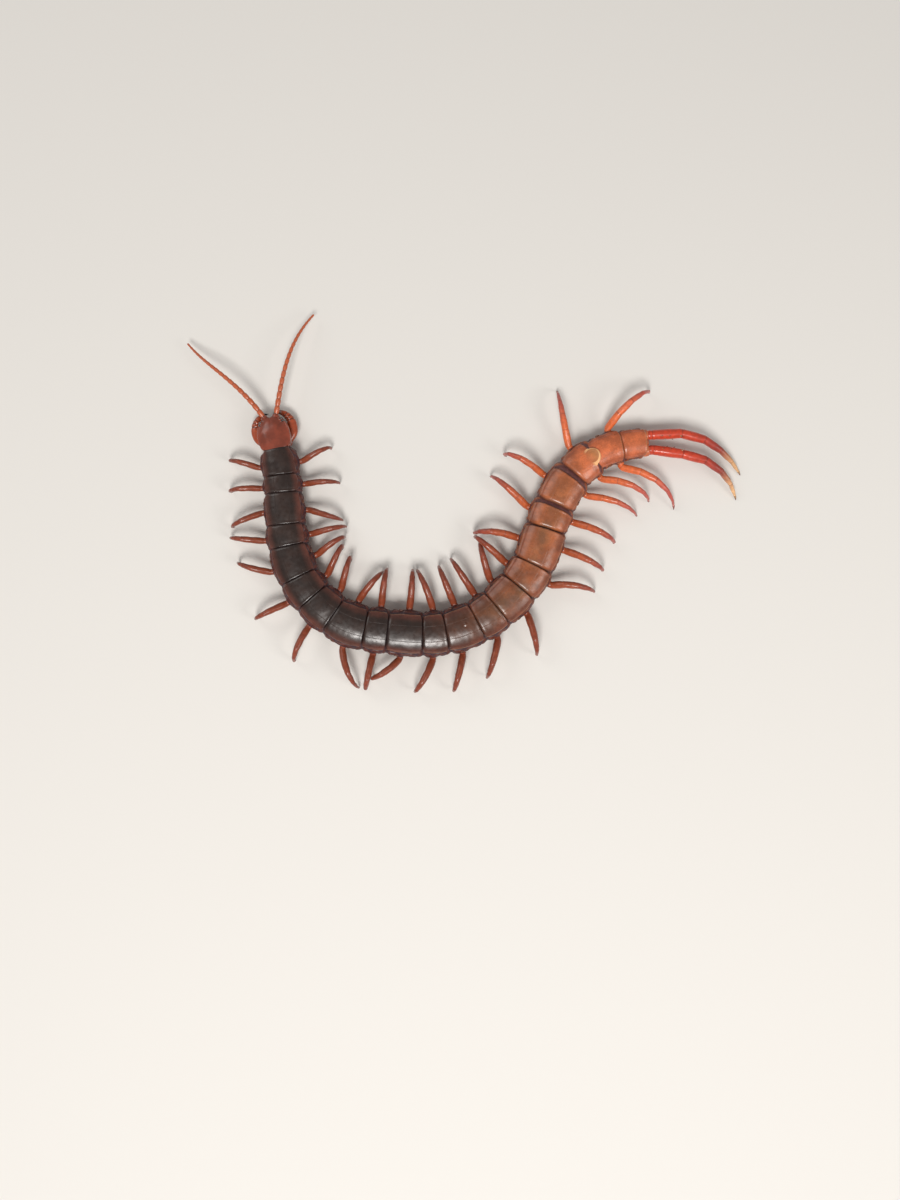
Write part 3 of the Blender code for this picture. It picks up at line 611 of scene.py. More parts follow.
def make_piece(name, surfaces, finish, nodes):
    """Piece of one or more closed surfaces that stands for solids of the frame."""
    points, faces, marks = [], [], []
    start = 0
    for surface_points, surface_faces, surface_marks in surfaces:
        points.append(surface_points)
        marks.append(surface_marks)
        faces += [[i + start for i in face] for face in surface_faces]
        start += len(surface_points)
    mesh = bpy.data.meshes.new(name)
    mesh.from_pydata((np.vstack(points) * MM).tolist(), [], faces)
    mesh.shade_smooth()
    values = mesh.attributes.new("marks", "FLOAT_VECTOR", "POINT")
    values.data.foreach_set("vector", np.vstack(marks).astype(np.float32).ravel())
    mesh.materials.append(finish)
    piece = bpy.data.objects.new(name, mesh)
    bpy.context.scene.collection.objects.link(piece)
    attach(piece, "root")
    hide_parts(*nodes)


def back_height(half_width, sizes):
    """Height of the back's middle, lower where the trunk is narrower."""
    return sizes.back_height * (half_width / WIDEST) ** 0.35


def hip_place(number, side_name):
    """How far a leg's hip lies behind the front of the head."""
    share = LEG_POSES[side_name][number - 1][0]
    return BORDERS[number - 1] + share * SEGMENT_LENGTHS[number - 1]


def flank_patches(points):
    """One on the hard patches of the flanks, nothing on the soft skin round them."""
    place, height = points[..., 0], points[..., 2]
    roundness = 2.6
    uneven = 0.12 * ripple(points * (1.0, 0.3, 1.0), 1.3, 8)
    hard = np.zeros_like(place)
    for border, span in zip(BORDERS, SEGMENT_LENGTHS):
        for share, level, half_length, half_height, slant in FLANK_PATCHES:
            along = (place - border - share * span) / (half_length * span)
            up = (height - level) / half_height - slant * along
            apart = (np.abs(along) ** roundness + np.abs(up) ** roundness) ** (1 / roundness) + uneven
            hard = np.maximum(hard, eased(apart, [(0.66, 1.0), (1.1, 0.0)]))
    return hard


def skin_folds(points, width, sizes):
    """How far the flank's folds and the mounds of the hips stand out of the smooth skin."""
    place, across, height = (points[..., i] for i in range(3))
    on_flank = eased(np.abs(across) / width, [(0.5, 0.0), (0.8, 1.0)])
    stretched = points * (1.0, 0.35, 0.5)
    waves = ripple(stretched, 1.7, 3) + 0.5 * ripple(stretched, 0.8, 4)
    hard = flank_patches(points) * on_flank
    relief = sizes.fold * on_flank * waves * (1 - 0.75 * hard) + sizes.patch * (hard - 0.5 * on_flank)
    for side_name, side in SIDES.items():
        for number in range(1, LAST):
            hip = hip_place(number, side_name)
            apart = ((place - hip) / 1.75) ** 2 + ((height - COXA_HEIGHT - 0.2) / 1.5) ** 2
            relief = relief + 0.6 * np.exp(-apart ** 1.4) * (across * side > 0)
    return relief, hard


def trunk_skin(sizes):
    """One skin under all the plates, pinched at every joint and folded along the flanks."""
    place = np.arange(BORDERS[0] - 1.2, WHOLE_LENGTH - 0.1, SKIN_STEP)
    stops = (BORDERS[:-1, None] + np.outer(SEGMENT_LENGTHS, [0.2, 0.8])).ravel()
    width = np.interp(place, stops, np.repeat(HALF_WIDTHS, 2))
    height = back_height(width, sizes) - BELLY_HEIGHT
    close = hump(np.abs(place[:, None] - BORDERS).min(axis=-1), 0.0, PINCH_REACH)
    ends = eased(place, [(BORDERS[0] - 1.2, 0.74), (BORDERS[0] + 2.2, 1.0), (WHOLE_LENGTH - 1.6, 1.0),
                         (WHOLE_LENGTH, 0.62)])
    half = []
    for share, rise in SKIN_OUTLINE:
        y = share * width * ends * (1 - 0.055 * close * (rise > 0.1))
        z = BELLY_HEIGHT + rise * height - sizes.pinch * close * eased(rise, [(0.4, 0.0), (0.8, 1.0)])
        half.append(together(place, y, z))
    rings = smooth_rings(half)
    wide = width[:, None]
    outward = unit(together(0.0, rings[..., 1] / wide ** 2, (rings[..., 2] - 6) / 16))
    relief, hard = skin_folds(rings, wide, sizes)
    rings = rings + outward * relief[..., None]
    return tube(bend(rings), together(hard, rings[..., 2] / 10, rings[..., 0] / WHOLE_LENGTH))


def plate_relief(number, u, v, y, width, plate_length, sizes, groove):
    """Grooves, ridges and faint dents of a back plate."""
    to_side = (1 - np.abs(u)) * width
    ridge = hump(to_side, 0.32, 0.15) - 0.6 * hump(to_side, 0.72, 0.17)
    relief = sizes.ridge * ridge * (1.0 if number >= 7 else 0.45)
    if 1 < number < LAST:
        apart = (np.abs(u) - groove) * width
        relief = relief - sizes.suture * hump(apart, 0.0, 0.08) * eased(v, [(0, 0), (0.12, 1)])
    relief = relief + 0.07 * hump((1 - v) * plate_length, 0.35, 0.22)
    spread = together(v * plate_length + 17.0 * number, y, 0.0)
    relief = relief + 0.035 * ripple(spread, 4.5, number) + 0.012 * ripple(spread, 1.6, number + 40)
    if number == WARTED_PLATE:
        apart = (v * plate_length - WART_PLACE[0]) ** 2 + (y - WART_PLACE[1]) ** 2
        moat = np.exp(-(np.sqrt(apart) - 0.75) ** 2 / 0.05)
        relief = relief + 0.2 * np.exp(-apart / 0.18) - 0.06 * moat
    return relief


def back_plate(number, sizes):
    """Hard plate over the back of a segment, with rounded rims and a raised rear lip."""
    half_width = HALF_WIDTHS[number - 1]
    front = BORDERS[number - 1] - TUCK - EARLY_FRONTS.get(number, 0.0)
    plate_length = BORDERS[number] - WIDE_JOINTS.get(number, SLIT) - front
    width = half_width * np.interp(number, *PLATE_COVER_STOPS)
    groove = 0.33 * half_width / width
    sutures = [0.5 + side * groove / 2 + step for side in (-1, 1) for step in np.linspace(-0.018, 0.018, 9)]
    u, v, full = plate_grid(plate_length, 2 * width, sizes.rim, 34, 62, sutures)
    y = u * width * eased(v, BACK_END_WAISTS.get(number, BACK_WAIST))
    corner = np.abs(u) ** 8
    room = LIP_RADIUS ** 2 - (y - LIP_CENTRE[1]) ** 2
    lobe = np.sqrt((room + np.sqrt(room ** 2 + 0.3)) / 2) * (number == LIPPED_PLATE)
    ragged = 0.05 * ripple(together(31.0 * number, y, 0.0), 1.9, 60 + number)
    # The corners are rounded, and the rear edge is ragged and reaches back where there is a lip
    place = front + v * plate_length + 0.5 * corner * (1 - v) ** 2 - 0.75 * corner * v ** 2
    place = place + ragged * v ** 5 + lobe * v ** 3
    drop = sizes.edge_drop * (half_width / WIDEST) ** 0.4
    top = back_height(half_width, sizes) - drop * np.abs(y / half_width) ** 2.4
    # The front edge dips under the plate before it, the rear sinks a little and the rims curl
    dip = 0.55 * hump(v * plate_length, 0.0, 0.55) + 0.10 * (1 - v) ** 3
    dip = dip + 0.08 * eased(v, [(0.7, 0), (1, 1)])
    curl = 0.22 * np.abs(u) ** 14 - 0.05 * np.sin(math.pi * v)
    relief = plate_relief(number, u, v, y, width, plate_length, sizes, groove)
    if number == LIPPED_PLATE:
        inward = LIP_RADIUS - np.hypot(place - LIP_CENTRE[0], y - LIP_CENTRE[1])
        behind = eased(place - LIP_CENTRE[0], [(-1.8, 0), (0.3, 1)])
        relief = relief + behind * (0.16 * hump(inward, 0.4, 0.35) + 0.12 * np.tanh(3 * inward))
    return thick_plate(together(place, y, top - dip - curl), full, sizes.plate_thickness, relief,
                       together(u, v, place / WHOLE_LENGTH))


def belly_plate(number, sizes):
    """Flat plate under a segment, with two lengthwise grooves."""
    start, end = BORDERS[number - 1], BORDERS[number]
    plate_length = 0.89 * (end - start)
    width = 0.60 * HALF_WIDTHS[number - 1]
    u, v, full = plate_grid(plate_length, 2 * width, 1.4 * sizes.rim, 26, 44)
    y = u * width * eased(v, BELLY_END_WAISTS.get(number, BELLY_WAIST))
    corner = np.abs(u) ** 6
    place = start + 0.06 * (end - start) + v * plate_length
    place = place + 0.45 * corner * (1 - v) ** 2 - 0.6 * corner * v ** 2
    bottom = BELLY_HEIGHT - 0.34 + 0.22 * np.abs(u) ** 3 + 0.08 * (2 * v - 1) ** 2
    relief = 0.03 * ripple(together(place, y, 0.0), 3.5, 90) - 0.12 * hump(np.abs(y), 0.5 * width, 0.16)
    relief = relief - 0.05 * np.exp(-(((v - 0.5) * 3) ** 2 + (y / (0.3 * width)) ** 2))
    marks = together(u, v, place / WHOLE_LENGTH)
    return thick_plate(together(place, y, bottom), full, 0.6, relief, marks, -1)


def spiracle(side, number):
    """Breathing hole in the flank: an oval rim round a sunken slit."""
    back, out = SPIRACLE_SHARES
    place = BORDERS[number - 1] + back * SEGMENT_LENGTHS[number - 1]
    heading = heading_at(place)
    outward = heading - side * math.pi / 2
    axis = unit(np.array([math.cos(outward), math.sin(outward), 0.28]))
    centre = bend([place, side * out * HALF_WIDTHS[number - 1], SPIRACLE_HEIGHT]) + 0.16 * axis
    along = np.array([math.cos(heading), math.sin(heading), 0.1])
    return turned(centre, axis, along, SPIRACLE_PROFILE, 28, (1.25, 0.62), place / WHOLE_LENGTH)


def tail_side(side):
    """Swollen side piece at the tail that carries a last leg and ends in a pointed process."""
    start, end = BORDERS[-2], WHOLE_LENGTH
    stops = [(start + 1.0, 0.8), (start + 3.0, 1.45), (end - 1.5, 1.8), (end, 1.9), (end + 0.7, 1.78),
             (end + 0.95, 1.56)]
    place = np.linspace(stops[0][0], stops[-1][0], 34)
    centres = together(place, side * TERMINAL_OFFSET, TERMINAL_HEIGHT - 0.15)
    directions = np.repeat([[1.0, 0.0, 0.0]], len(place), axis=0)
    rings, _ = rings_along(centres, directions, eased(place, stops), 40)
    rings = rings + 0.03 * ripple(rings, 1.2, 7)[..., None] * unit(rings - centres[:, None])
    process = spike((end - 1.5, side * 1.9, 3.9), (end + 1.5, side * 1.55, 3.3), 0.75,
                    curve=(end + 0.3, side * 1.9, 3.5), mark=1.0, sides=20, tip_radius=0.1)
    return [tube(bend(rings), together(0.5, 0.5, rings[..., 0] / WHOLE_LENGTH)), bent(process)]


def tail_end():
    """Small rounded end of the trunk between the roots of the last legs."""
    centre = np.array([WHOLE_LENGTH - 0.1, 0.0, 5.7])
    axis = unit(np.array([1.0, 0.0, -0.25]))
    end = bent(turned(centre, axis, np.array([0.0, 1.0, 0.0]), TAIL_PROFILE, 32, (0.8, 1.0), 0.97))
    # Its colour is that of the middle of a plate, without the painted seam shade at a plate's ends
    end[2][..., 1] = 0.5
    return end


def direction_of(azimuth, elevation):
    """Direction from an azimuth and an elevation in radians."""
    level = math.cos(elevation)
    return np.array([level * math.cos(azimuth), level * math.sin(azimuth), math.sin(elevation)])


def chain(start, links, azimuths, lift, drop):
    """Joints of a limb whose links sink one after another by shares of a whole drop."""
    joints = [np.array(start, dtype=float)]
    for link, azimuth, share in zip(links, azimuths, DROP_SHARES):
        joints.append(joints[-1] + link * direction_of(azimuth, lift - drop * share))
    return joints


def bisect(low, high, is_low):
    """Value between two limits at which a test changes from true to false."""
    for _ in range(40):
        middle = (low + high) / 2
        if is_low(middle):
            low = middle
        else:
            high = middle
    return low


def land(start, links, azimuths, drop):
    """Joints of a limb whose first link is lifted so far that its end is on the floor."""
    def ends_low(lift):
        return chain(start, links, azimuths, lift, drop)[-1][2] < 0
    lift = bisect(math.radians(LOWEST_LIFT), math.radians(HIGHEST_LIFT), ends_low)
    return chain(start, links, azimuths, lift, drop)


def direction_to(target, start, near):
    """Level direction towards a target, in the turn that lies nearest to an angle."""
    angle = math.atan2(target[1] - start[1], target[0] - start[0])
    return angle + 2 * math.pi * round((near - angle) / (2 * math.pi))


def leg_joints(number, side_name):
    """Places where a walking leg bends, from inside the flank to the tip of its claw."""
    side = SIDES[side_name]
    _, swing, reach, turn = LEG_POSES[side_name][number - 1]
    place = hip_place(number, side_name)
    half_width = HALF_WIDTHS[number - 1]
    knee_y = side * (0.9 * half_width + COXA_REACH + JOINT_GAP + TROCHANTER)
    inside, hip, knee = bend([
        (place, side * 0.6 * half_width, COXA_HEIGHT + 0.4), (place, side * 0.88 * half_width, 0),
        (place, knee_y, COXA_HEIGHT),
    ])
    outward = heading_at(place) - side * math.pi / 2
    foot = hip + reach * direction_of(outward + side * math.radians(swing), 0.0)
    aim = direction_to(foot, knee, outward)
    distance = math.hypot(foot[0] - knee[0], foot[1] - knee[1])
    links = [np.interp(number, *LEG_LENGTH_STOPS) * share for share in LEG_SHARES]
    bends = [side * math.radians(turn) * (i / (len(links) - 1) - 0.5) for i in range(len(links))]

    def plan(drop, offset):
        return land(knee, links, [aim + offset + angle for angle in bends], drop)

    def reaches_far(drop):
        return np.linalg.norm((plan(drop, 0.0)[-1] - knee)[:2]) > distance
    drop = bisect(0.0, math.radians(LARGEST_DROP), reaches_far)
    miss = direction_to(plan(drop, 0.0)[-1], knee, aim) - aim
    return [inside] + plan(drop, -miss)


def terminal_joints(side_name):
    """Places where one of the last legs bends, from inside the tail to its claw tip."""
    places = (TAIL_BOSS_END - 1.4, TAIL_BOSS_END + JOINT_GAP + TERMINAL_TROCHANTER)
    inside, knee = bend([(place, SIDES[side_name] * TERMINAL_OFFSET, TERMINAL_HEIGHT) for place in places])
    azimuths = [heading_at(WHOLE_LENGTH) - math.radians(turn) for turn in TERMINAL_TURNS[side_name]]
    return [inside] + land(knee, TERMINAL_LINKS, azimuths, math.radians(TERMINAL_DROP))


def girth_stops(girths, root_stops):
    """Girth along a limb: narrow at each joint, swollen along each link and rimmed at its end."""
    stops = list(root_stops)
    for i, (waist, swell, rim) in enumerate(girths[1:], start=1):
        stops += [(i, waist), (i + 0.1, 0.45 * waist + 0.55 * swell), (i + 0.55, swell), (i + 0.88, rim),
                  (i + 0.955, 0.98 * rim)]
    return stops + [(len(girths), 0.75 * girths[-1][2])]


def limb(joints, girth, stops, trims, sides, share):
    """Jointed limb from inside its root to the end of its foot, without its claw."""
    points, directions, counts = rounded_path(joints[:-1], trims, 0.24)
    points, directions, radii, counts = domed(points, directions, girth * eased(counts, stops), counts)
    rings, facing_up = rings_along(points, directions, radii, sides, flatten=0.93)
    rings = rings + 0.018 * ripple(rings, 1.5, 11)[..., None] * unit(rings - points[:, None])
    return tube(rings, together((counts / (len(joints) - 2))[:, None], facing_up, share))


def claw(joints, root, tip_radius):
    """Curved claw at the end of a foot, which touches the floor, with two small spines."""
    before, base, tip = joints[-3:]
    heading = unit(base - before)
    reach = np.linalg.norm(tip - base)
    pieces = [spike(base - 0.25 * heading, tip + tip_radius * UP, root, 14, base + 0.55 * reach * heading,
                    tip_radius=tip_radius)]
    side = unit(np.cross(heading, UP))
    for turn in (-1, 1):
        spine_end = base + 0.42 * reach * heading + 0.5 * root * turn * side
        pieces.append(spike(base + 0.6 * root * turn * side - 0.1 * heading, spine_end, 0.3 * root, 8))
    return pieces


def spur(joints, girth, size):
    """Small spine under the far end of the first tarsus."""
    before, end = joints[-4:-2]
    heading = unit(end - before)
    under = unit(np.cross(heading, np.cross(UP, heading)))
    root = end - 0.35 * heading - 0.30 * girth * under
    return spike(root, root + size * (0.75 * heading - 0.6 * under), 0.13, 8)


def thigh_spines(joints, girth, side, size):
    """Short spines on the inner and under sides of a last leg's first length."""
    root, far = joints[1:3]
    heading = unit(far - root)
    across = unit(np.cross(UP, heading)) * side
    up = np.cross(heading, across) * side
    up = up * np.sign(up[2])
    pieces = []
    for share, rise in THIGH_SPINES:
        angle = math.radians(rise)
        outward = math.cos(angle) * across + math.sin(angle) * up
        base = root + share * (far - root) + 0.88 * girth * outward
        long = size * (1.5 if share > 0.9 else 1.0)
        pieces.append(spike(base, base + long * (0.62 * heading + 0.6 * outward), 0.24))
    return pieces


def head_size(share, top):
    """Half width and top of the head at shares of its length."""
    roundness = 2.3
    ahead = np.clip(1 - share / HEAD_WIDEST, 0, 1)
    front = HEAD_HALF_WIDTH * (1 - ahead ** roundness) ** (1 / roundness)
    narrowing = np.clip(share - HEAD_WIDEST, 0, 1) / (1 - HEAD_WIDEST)
    rear = HEAD_HALF_WIDTH * (1 - 0.13 * narrowing ** 2)
    width = np.maximum(np.where(share < HEAD_WIDEST, front, rear), HEAD_FRONT_WIDTH)
    rise = 1 - (1 - np.minimum(share / 0.55, 1.0)) ** 2
    return width, HEAD_FRONT_TOP + (top - HEAD_FRONT_TOP) * rise


def head_capsule(sizes):
    """Head under its shield, rounded in front and drawn in behind."""
    shares = np.concatenate([np.linspace(0, 0.1, 14)[:-1], np.linspace(0.1, 1.0, 50)])
    width, top = head_size(shares, sizes.top)
    top = top - 0.35
    place = HEAD_FRONT + shares * (HEAD_LENGTH - HEAD_FRONT)
    rim = HEAD_FLOOR + 0.42 * (top - HEAD_FLOOR)
    draw_in = eased(shares, [(0.0, 0.62), (0.06, 0.93), (0.2, 0.965), (0.9, 0.965), (1.0, 0.9)])
    middle = HEAD_FLOOR + 0.45 * (top - HEAD_FLOOR)
    outline = [
        (0.0, top), (0.28, top - 0.08), (0.55, top - 0.4), (0.8, top - 1.05),
        (0.95, 0.6 * top + 0.4 * rim), (1.0, rim), (0.93, HEAD_FLOOR + 0.7),
        (0.8, HEAD_FLOOR + 0.2), (0.55, HEAD_FLOOR), (0.0, HEAD_FLOOR),
    ]
    rings = smooth_rings([together(place, part * width * draw_in, middle + (height - middle) * draw_in)
                          for part, height in outline])
    rings = rings + 0.02 * ripple(rings, 1.4, 21)[..., None] * (0, 1, 1)
    marks = together(rings[..., 1] / HEAD_HALF_WIDTH, rings[..., 2] / 10, rings[..., 0] / WHOLE_LENGTH)
    return tube(bend(rings), marks)


def head_shield(sizes, rim):
    """Shield over the head, notched in front, that overlaps the first back plate."""
    front, rear = HEAD_FRONT - 0.1, HEAD_LENGTH + 0.55
    u, v, full = plate_grid(rear - front, 2 * HEAD_HALF_WIDTH, rim, 60, 72)
    width, top = head_size(v, sizes.top)
    y = u * 0.965 * width
    forward = 0.35 * hump(y, 0.0, 0.35) + 0.35 * np.abs(u) ** 6
    place = front + v * (rear - front) + forward * (1 - v) ** 8 - 1.1 * np.abs(u) ** 3 * v ** 6
    drop = 1.7 * np.abs(u) ** 2.6 * np.minimum(1.0, 0.45 + 3.0 * v)
    groove = hump(np.abs(y) - 0.9, 1.1 * (1 - v), 0.1) * eased(v, [(0.45, 0), (0.6, 1)])
    median = hump(y, 0.0, 0.14) * eased(v, [(0, 1), (0.16, 0.7), (0.24, 0)])
    relief = 0.03 * ripple(together(place, y, 0.0), 3.0, 31)
    relief = relief + 0.05 * hump((1 - np.abs(u)) * width, 0.25, 0.14) - 0.045 * groove - 0.06 * median
    return thick_plate(together(place, y, top - drop - 0.12 * v ** 8), full, sizes.shield, relief,
                       together(u, v, place / WHOLE_LENGTH))


def antenna_frame(side):
    """Root of a feeler and the level direction in which it leaves the head."""
    azimuth = math.pi - side * math.radians(ANTENNA_SPREAD)
    return np.array(ANTENNA_ROOT) * (1, side, 1), np.array([math.cos(azimuth), math.sin(azimuth), 0.0])


def antenna_socket(side):
    """Collar on the front of the head that carries a feeler."""
    return bent(turned(*antenna_frame(side), UP, SOCKET_PROFILE, 36))


def antenna(side_name, girth):
    """Feeler of many short articles, each a little barrel that tapers to the next."""
    side = SIDES[side_name]
    curl, sway = ANTENNA_BENDS[side_name]
    root, forward = antenna_frame(side)
    place = root + 0.3 * forward
    samples = [(root - 0.5 * forward, forward, 0.7 * girth, 0.0)]
    for i in range(ANTENNA_ARTICLES):
        share = i / (ANTENNA_ARTICLES - 1)
        article = ANTENNA_LENGTH / ANTENNA_ARTICLES * (1.2 - 0.4 * share)
        spread = ANTENNA_SPREAD + curl * share + sway * math.sin(math.pi * share)
        rise = 12 * math.cos(1.3 * math.pi * share) - 9 * share
        step = direction_of(math.pi - side * math.radians(spread), math.radians(rise))
        for part in np.linspace(0, 1, 11)[:-1]:
            radius = girth * (1 - 0.62 * share) * float(eased(part, ANTENNA_BARREL))
            samples.append((place + part * article * step, step, radius, (i + part) / ANTENNA_ARTICLES))
        place = place + article * step
    points, directions, radii, counts = domed(*map(np.array, zip(*samples)))
    rings, facing_up = rings_along(points, directions, radii, 26)
    return tube(bend(rings), together(counts[:, None], facing_up, 0.0))


def eye_frame(side):
    """Middle of a group of eyes, where it looks and its two directions across."""
    axis = direction_of(math.radians(side * EYE_FACING[0]), math.radians(EYE_FACING[1]))
    along = unit(np.cross(UP, axis))
    return np.array(EYE_PLACE) * (1, side, 1), axis, along, np.cross(axis, along)


def eye_swelling(side):
    """Low oval swelling of the head's shell that carries four eyes."""
    centre, axis, along, _ = eye_frame(side)
    return bent(turned(centre, axis, along, EYE_SEAT_PROFILE, 40, (1.0, 0.88)))


def eye_group(side, radius):
    """Four glossy domed simple eyes that look a little away from each other."""
    centre, axis, along, up = eye_frame(side)
    rises = np.linspace(0, math.pi / 2, 12)[:-1]
    dome = [(radius, -0.3)] + [(radius * math.cos(rise), radius * math.sin(rise)) for rise in rises]
    pieces = []
    for i in range(4):
        angle = math.pi / 4 + i * math.pi / 2
        offset = 0.56 * math.cos(angle) * along + 0.46 * math.sin(angle) * up
        pieces.append(bent(turned(centre + offset + 0.08 * axis, unit(axis + 0.35 * offset), along, dome, 28,
                                  mark=1.0)))
    return pieces


def forcipule(side):
    """Poison claw that curves round in front of the mouth, thick at its root, sharp at its tip."""
    knots = np.array(FORCIPULE_PATH)
    padded = np.vstack([2 * knots[0] - knots[1], knots, 2 * knots[-1] - knots[-2]])
    path = smooth_steps(padded[:-3], padded[1:-2], padded[2:-1], padded[3:], 14)
    x, y, girth = np.vstack([path.reshape(-1, 3), knots[-1]]).T
    shares = np.linspace(0, 1, len(x))
    centres = together(x, side * y, FORCIPULE_HEIGHT)
    pinch = sum(hump(shares, joint, 0.012) for joint in FORCIPULE_JOINTS)
    headings = unit(np.gradient(centres, axis=0))
    rings, facing_up = rings_along(centres, headings, girth * (1 - 0.09 * pinch), 40)
    squeeze = np.minimum(1.0, 1.2 / girth)[:, None]
    rings[..., 2] = FORCIPULE_HEIGHT + (rings[..., 2] - FORCIPULE_HEIGHT) * squeeze
    tooth = spike((5.3, side * 3.9, 3.2), (3.3, side * 3.2, 3.1), 0.62, 16, tip_radius=0.12,
                  curve=(4.3, side * 3.1, 3.1))
    return [bent(tube(rings, together(shares[:, None], facing_up, 0.0))), bent(tooth)]


def forcipule_plate():
    """Broad plate under the head, from which the poison claws spring."""
    front, rear = 4.55, 10.35
    u, v, full = plate_grid(rear - front, 8.0, 0.9, 44, 56)
    y = u * eased(v, [(-0.01, 2.0), (0.12, 2.35), (0.62, 4.9), (0.78, 4.85), (1.01, 3.9)])
    behind = v * (rear - front)
    median = hump(y, 0.0, 0.12) * eased(v, [(0, 1), (0.35, 0.8), (0.5, 0)])
    relief = 0.035 * ripple(together(behind, y, 0.0), 2.6, 51) - 0.1 * median
    return thick_plate(together(front + behind, y, 2.0 + 0.25 * np.abs(u) ** 3), full, 2.3, relief,
                       together(u, v, 0.03), -1)


def tooth_plate(side):
    """Lobe in front of the broad plate, on which the teeth stand."""
    u, v, full = plate_grid(1.7, 1.6, 0.4, 14, 14)
    y = side * (1.1 + 0.82 * u * (0.9 + 0.12 * v))
    return thick_plate(together(3.55 + 1.7 * v, y, 2.35), full, 1.6, 0.0, together(0.0, v, 0.0), -1)


def teeth(side, size):
    """Row of short blunt teeth on a lobe."""
    pieces = []
    for i, y in enumerate(np.linspace(0.42, 1.74, 5)):
        lean = 0.12 * (i - 2) / 2
        tip = (3.7 - size * (1 - 0.07 * i), side * (y + lean), 3.1)
        pieces.append(bent(spike((3.75, side * y, 3.15), tip, 0.2, 10, tip_radius=0.07)))
    return pieces


def mouth_palp(side):
    """Short jointed palp between the mouth and the poison claws."""
    points, directions, counts = rounded_path(np.array(PALP_PATH) * (1, side, 1), [0.5, 0.45], 0.15)
    points, directions, radii, counts = domed(points, directions, 0.46 * eased(counts, PALP_GIRTHS), counts)
    rings, facing_up = rings_along(points, directions, radii, 20)
    return tube(bend(rings), together((counts / 6)[:, None], facing_up, 0.0))


def scaled(colour, factor):
    """Lighter or darker colour."""
    return [min(1.0, level * factor) for level in colour]


class Field:
    """Number or colour that varies over a surface, worked out by a shader node."""

    def __init__(self, looks, socket):
        self.looks = looks
        self.socket = socket

    def other(self, output):
        """Another output of the same node."""
        return Field(self.looks, self.socket.node.outputs[output])

    def maths(self, operation, second=0.0):
        """Result of an operation on this number and a second one."""
        return self.looks.field("Math", {0: self, 1: second}, operation=operation)

    def __add__(self, second):
        return self.maths("ADD", second)

    def __sub__(self, second):
        return self.maths("SUBTRACT", second)

    def __rsub__(self, first):
        return self.looks.field("Math", {0: first, 1: self}, operation="SUBTRACT")

    def __mul__(self, second):
        return self.maths("MULTIPLY", second)

    def __abs__(self):
        return self.maths("ABSOLUTE")

    def band(self, low, high, start=0.0, end=1.0):
        """Number that goes smoothly from one value to another between two limits."""
        inputs = {"Value": self, "From Min": low, "From Max": high, "To Min": start, "To Max": end}
        return self.looks.field("MapRange", inputs, interpolation_type="SMOOTHSTEP")


class Looks:
    """Principled material whose colour, gloss and relief are worked out by nodes."""

    def __init__(self, name, roughness, coat=0.0, coat_roughness=0.15, subsurface=0.0):
        self.material = bpy.data.materials.new(name)
        self.material.use_nodes = True
        self.tree = self.material.node_tree
        self.shader = self.tree.nodes["Principled BSDF"]
        self.place = self.field("TexCoord", {}, "Object")
        self.relief = None
        values = {"Roughness": roughness, "Coat Weight": coat, "Coat Roughness": coat_roughness}
        if subsurface:
            values.update({"Subsurface Weight": subsurface, "Subsurface Radius": (1.0, 0.35, 0.2),
                           "Subsurface Scale": 0.8 * MM})
        self.connect(self.shader, values)

    def connect(self, node, inputs):
        """Fills a node's inputs, or links them where they vary."""
        for key, value in inputs.items():
            if isinstance(value, Field):
                self.tree.links.new(value.socket, node.inputs[key])
            else:
                node.inputs[key].default_value = value

    def field(self, kind, inputs, output=0, **settings):
        """Output of a new shader node."""
        node = self.tree.nodes.new("ShaderNode" + kind)
        for name, value in settings.items():
            setattr(node, name, value)
        self.connect(node, inputs)
        return Field(self, node.outputs[output])

    def marks(self):
        """The three numbers that a piece carries at each of its points."""
        marks = self.field("SeparateXYZ", {0: self.field("Attribute", {}, "Vector", attribute_name="marks")})
        return [marks.other(i) for i in range(3)]

    def noise(self, per_mm, detail=3.0, roughness=0.5):
        """Noise of a size given in waves per millimetre."""
        inputs = {"Vector": self.place, "Scale": per_mm / MM, "Detail": detail, "Roughness": roughness}
        return self.field("TexNoise", inputs)

    def mix(self, share, first, second, kind="MIX"):
        """Mix of two colours."""
        colours = [colour if isinstance(colour, Field) else (*colour[:3], 1.0) for colour in (first, second)]
        inputs = {0: share, 6: colours[0], 7: colours[1]}
        return self.field("Mix", inputs, 2, data_type="RGBA", blend_type=kind)

    def shaded(self, colour, factor):
        """Colour made lighter or darker by a factor that varies from place to place."""
        grey = self.field("CombineColor", {0: factor, 1: factor, 2: factor})
        return self.mix(1.0, colour, grey, "MULTIPLY")

    def mottled(self, colour, darkest, lightest, *grain):
        """Colour made lighter and darker by noise."""
        return self.shaded(colour, self.noise(*grain).band(0.3, 0.7, darkest, lightest))

    def bump(self, depth, strength, *grain):
        """Adds fine relief over any that is there, with a depth in millimetres."""
        inputs = {"Height": self.noise(*grain), "Distance": depth * MM, "Strength": strength}
        if self.relief is not None:
            inputs["Normal"] = self.relief
        self.relief = self.field("Bump", inputs)
        self.connect(self.shader, {"Normal": self.relief})

    def painted(self, colour):
        """The material, once it has its colour."""
        self.connect(self.shader, {"Base Color": colour})
        return self.material


